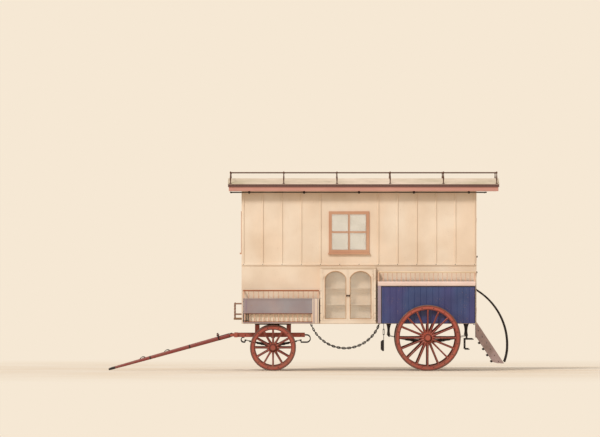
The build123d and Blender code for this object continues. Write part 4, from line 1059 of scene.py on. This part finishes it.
def fore_carriage_bolts():
    """Two rows of bolts in the splinter bar, and bolts through the side bars into what crosses them."""
    splinter = span("fore_bed")[0][0] + 0.081
    along = joint_at["steering"][0] + np.array([-0.5, -0.325, -0.245, 0.245, 0.325, 0.5])
    rows = [("front", [splinter], np.linspace(-0.58, 0.58, 9), [0.622, 0.658])]
    rows += [(side, along, [out * 0.530], [0.640]) for side, out in sides.items()]
    bolts = [heads(lattice(x, y, z), way, 0.010, 0.006) for way, x, y, z in rows]
    piece("fore_carriage_bolts", bolts, "black_iron", body="fore_carriage")


def door_furniture():
    """An iron latch on the lower door and one on a shutter: turned knobs on plates."""
    knob = turned([(0, 0.010), (0.012, 0.009), (0.018, 0.015), (0.026, 0.019), (0.034, 0.016),
                   (0.038, 0.006)], 20)
    for node, y, z in (("lower_door", 0.262, span("lower_door")[1][2] - 0.12),
                       ("shutter_far", 0.030, span("shutter_far")[0][2] + 0.16)):
        plate = board((BACK - 0.001, y - 0.022, z - 0.06), (BACK + 0.003, y + 0.022, z + 0.06), 0.0015)
        handle = knob.copies((BACK + 0.003, y, z), OUT["back"])
        piece(node + "_latch", [plate, handle], "black_iron", body=node)


def step_trim():
    """A rounded nosing along the front of each tread, a board under each stringer, which widens it towards
    its foot, bolts through the stringers, and a round iron along the back of each tread."""
    top = span("steps")[1][2]
    run, rise, treads = 0.514, 0.774, 7
    half_tread, half_iron = 0.247, 0.262
    stringer_face, board_width, board_inset = 0.280, 0.024, 0.0025
    edge = np.array([(0.001, 0.697), (0.001, 0.619), (0.313, 0.150), (0.405, 0.1275), (0.448, 0.135)])
    wood, irons = [], []
    for y in (board_inset - stringer_face, stringer_face - board_inset - board_width):
        face = np.insert(edge + (BACK, 0), 1, y, axis=1)
        wood.append(skin(np.stack([face, face + (0, board_width, 0)])))
    for i in range(treads):
        t = (i + 0.55) / treads
        x, z = BACK + run * t - 0.012, top - rise * t - 0.012
        nose = np.linspace((x, -half_tread, z), (x, half_tread, z), 4)
        wood.append(carried(nose, oval(0.020, 0.0265, 3, 12)))
        back = x - 0.184
        if back > BACK:
            irons.append(bar((back, -half_iron, z - 0.002), (back, half_iron, z - 0.002), 0.019, 14))
        for side, out in sides.items():
            irons.append(heads((x - 0.054, out * stringer_face, z), side, 0.008, 0.004))
    piece("step_nosings", wood, "step_paint")
    piece("step_irons", irons, "black_iron")


def stage():
    """A pale floor of rings. What the camera sees of it far from the van glows in the paper's colour."""
    points = np.insert(circle([6.0, 12.0, 30.0, 90.0], 48), 2, 0.0, axis=-1)
    grid = np.arange(4 * 48).reshape(4, 48)
    near, far = grid[:-1], grid[1:]
    quads = np.stack([near, far, np.roll(far, -1, 1), np.roll(near, -1, 1)], -1).reshape(-1, 4)
    mesh = bpy.data.meshes.new("floor")
    mesh.from_pydata(points.reshape(-1, 3).tolist(), [], [grid[0].tolist()] + quads.tolist())

    paint = Paint("floor_paper", {"Roughness": 0.95})
    tone = paint.noise(0.35, 3.0).between(0.3, 0.7)
    paint.feed("Base Color", paint.mix(tone, linear(PAPER), linear(PAPER_SHADE)))
    seen = paint.node("ShaderNodeLightPath", {}, {}, "Is Camera Ray")
    glow = paint.node("ShaderNodeEmission", {}, {"Color": linear(PAPER_LIT)})
    distance = paint.node("ShaderNodeVectorMath", {"operation": "LENGTH"}, {0: paint.place}, 1)
    inputs = {0: seen * distance.between(5.0, 16.0), 1: paint.shader, 2: glow}
    mesh.materials.append(paint.done(paint.node("ShaderNodeMixShader", {}, inputs)))
    in_scene("floor", mesh)


def light():
    """Even light from all round, and one large soft lamp high on the near side. Rays from the camera, and
    those that gloss and glass send on, see the paper's colour in place of the sky."""
    world = bpy.data.worlds.new("sky")
    bpy.context.scene.world = world
    world.use_nodes = True
    tree = Tree(world.node_tree)
    sky = tree.node("ShaderNodeBackground", {}, {"Color": (1.0, 0.98, 0.95, 1), "Strength": 0.62})
    paper = tree.node("ShaderNodeBackground", {}, {"Color": linear(PAPER_LIT)})
    camera_ray, gloss_ray, glass_ray = (tree.node("ShaderNodeLightPath", {}, {}, f"Is {kind} Ray")
                                        for kind in ("Camera", "Glossy", "Transmission"))
    share = camera_ray.maths("MAXIMUM", gloss_ray).maths("MAXIMUM", glass_ray)
    mixed = tree.node("ShaderNodeMixShader", {}, {0: share, 1: sky, 2: paper})
    tree.node("ShaderNodeOutputWorld", {}, {"Surface": mixed})

    sun = bpy.data.lights.new("sun", "SUN")
    sun.energy = 1.9
    sun.angle = math.radians(12)
    lamp = in_scene("sun", sun)
    lamp.rotation_euler = (math.radians(48), 0, math.radians(-32))


def camera():
    """Level, square to the van's near side, and so far off that it hardly narrows."""
    data = bpy.data.cameras.new("camera")
    data.sensor_width = SENSOR * 1000
    data.lens = 1000 * SENSOR * CAMERA_DISTANCE / (PICTURE[0] * PIXEL)
    data.clip_start = 1.0
    data.clip_end = 600
    eye = in_scene("camera", data)
    eye.location = ((PICTURE[0] / 2 - MIDDLE_COLUMN) * PIXEL, cad_low.y - CAMERA_DISTANCE,
                    (GROUND_ROW - PICTURE[1] / 2) * PIXEL)
    eye.rotation_euler = (math.pi / 2, 0, 0)
    bpy.context.scene.camera = eye


camera()
light()
stage()
dress_frame()
front_galleries()
locker_galleries()
for wheel_side in sides:
    wheel("front", wheel_side, 12)
    wheel("rear", wheel_side, 16)
roof_rail()
hanging_rails()
handrails()
porch_rails()
chains()
springs("front", y=0.500, top=0.490, half=0.500, camber=0.062, body="fore_carriage")
springs("rear", y=0.635, top=0.552, half=0.700, camber=0.080, body="van")
for shaft_side, shaft_out in sides.items():
    shaft(shaft_side, shaft_out)
swingletree()
cabinet_beads()
cabinet_knobs()
case_ends()
locker_trim()
corner_rack()
end_walls()
body_bolts()
roof_tacks()
fore_carriage_bolts()
door_furniture()
step_trim()
bpy.context.scene.view_settings.view_transform = "Standard"
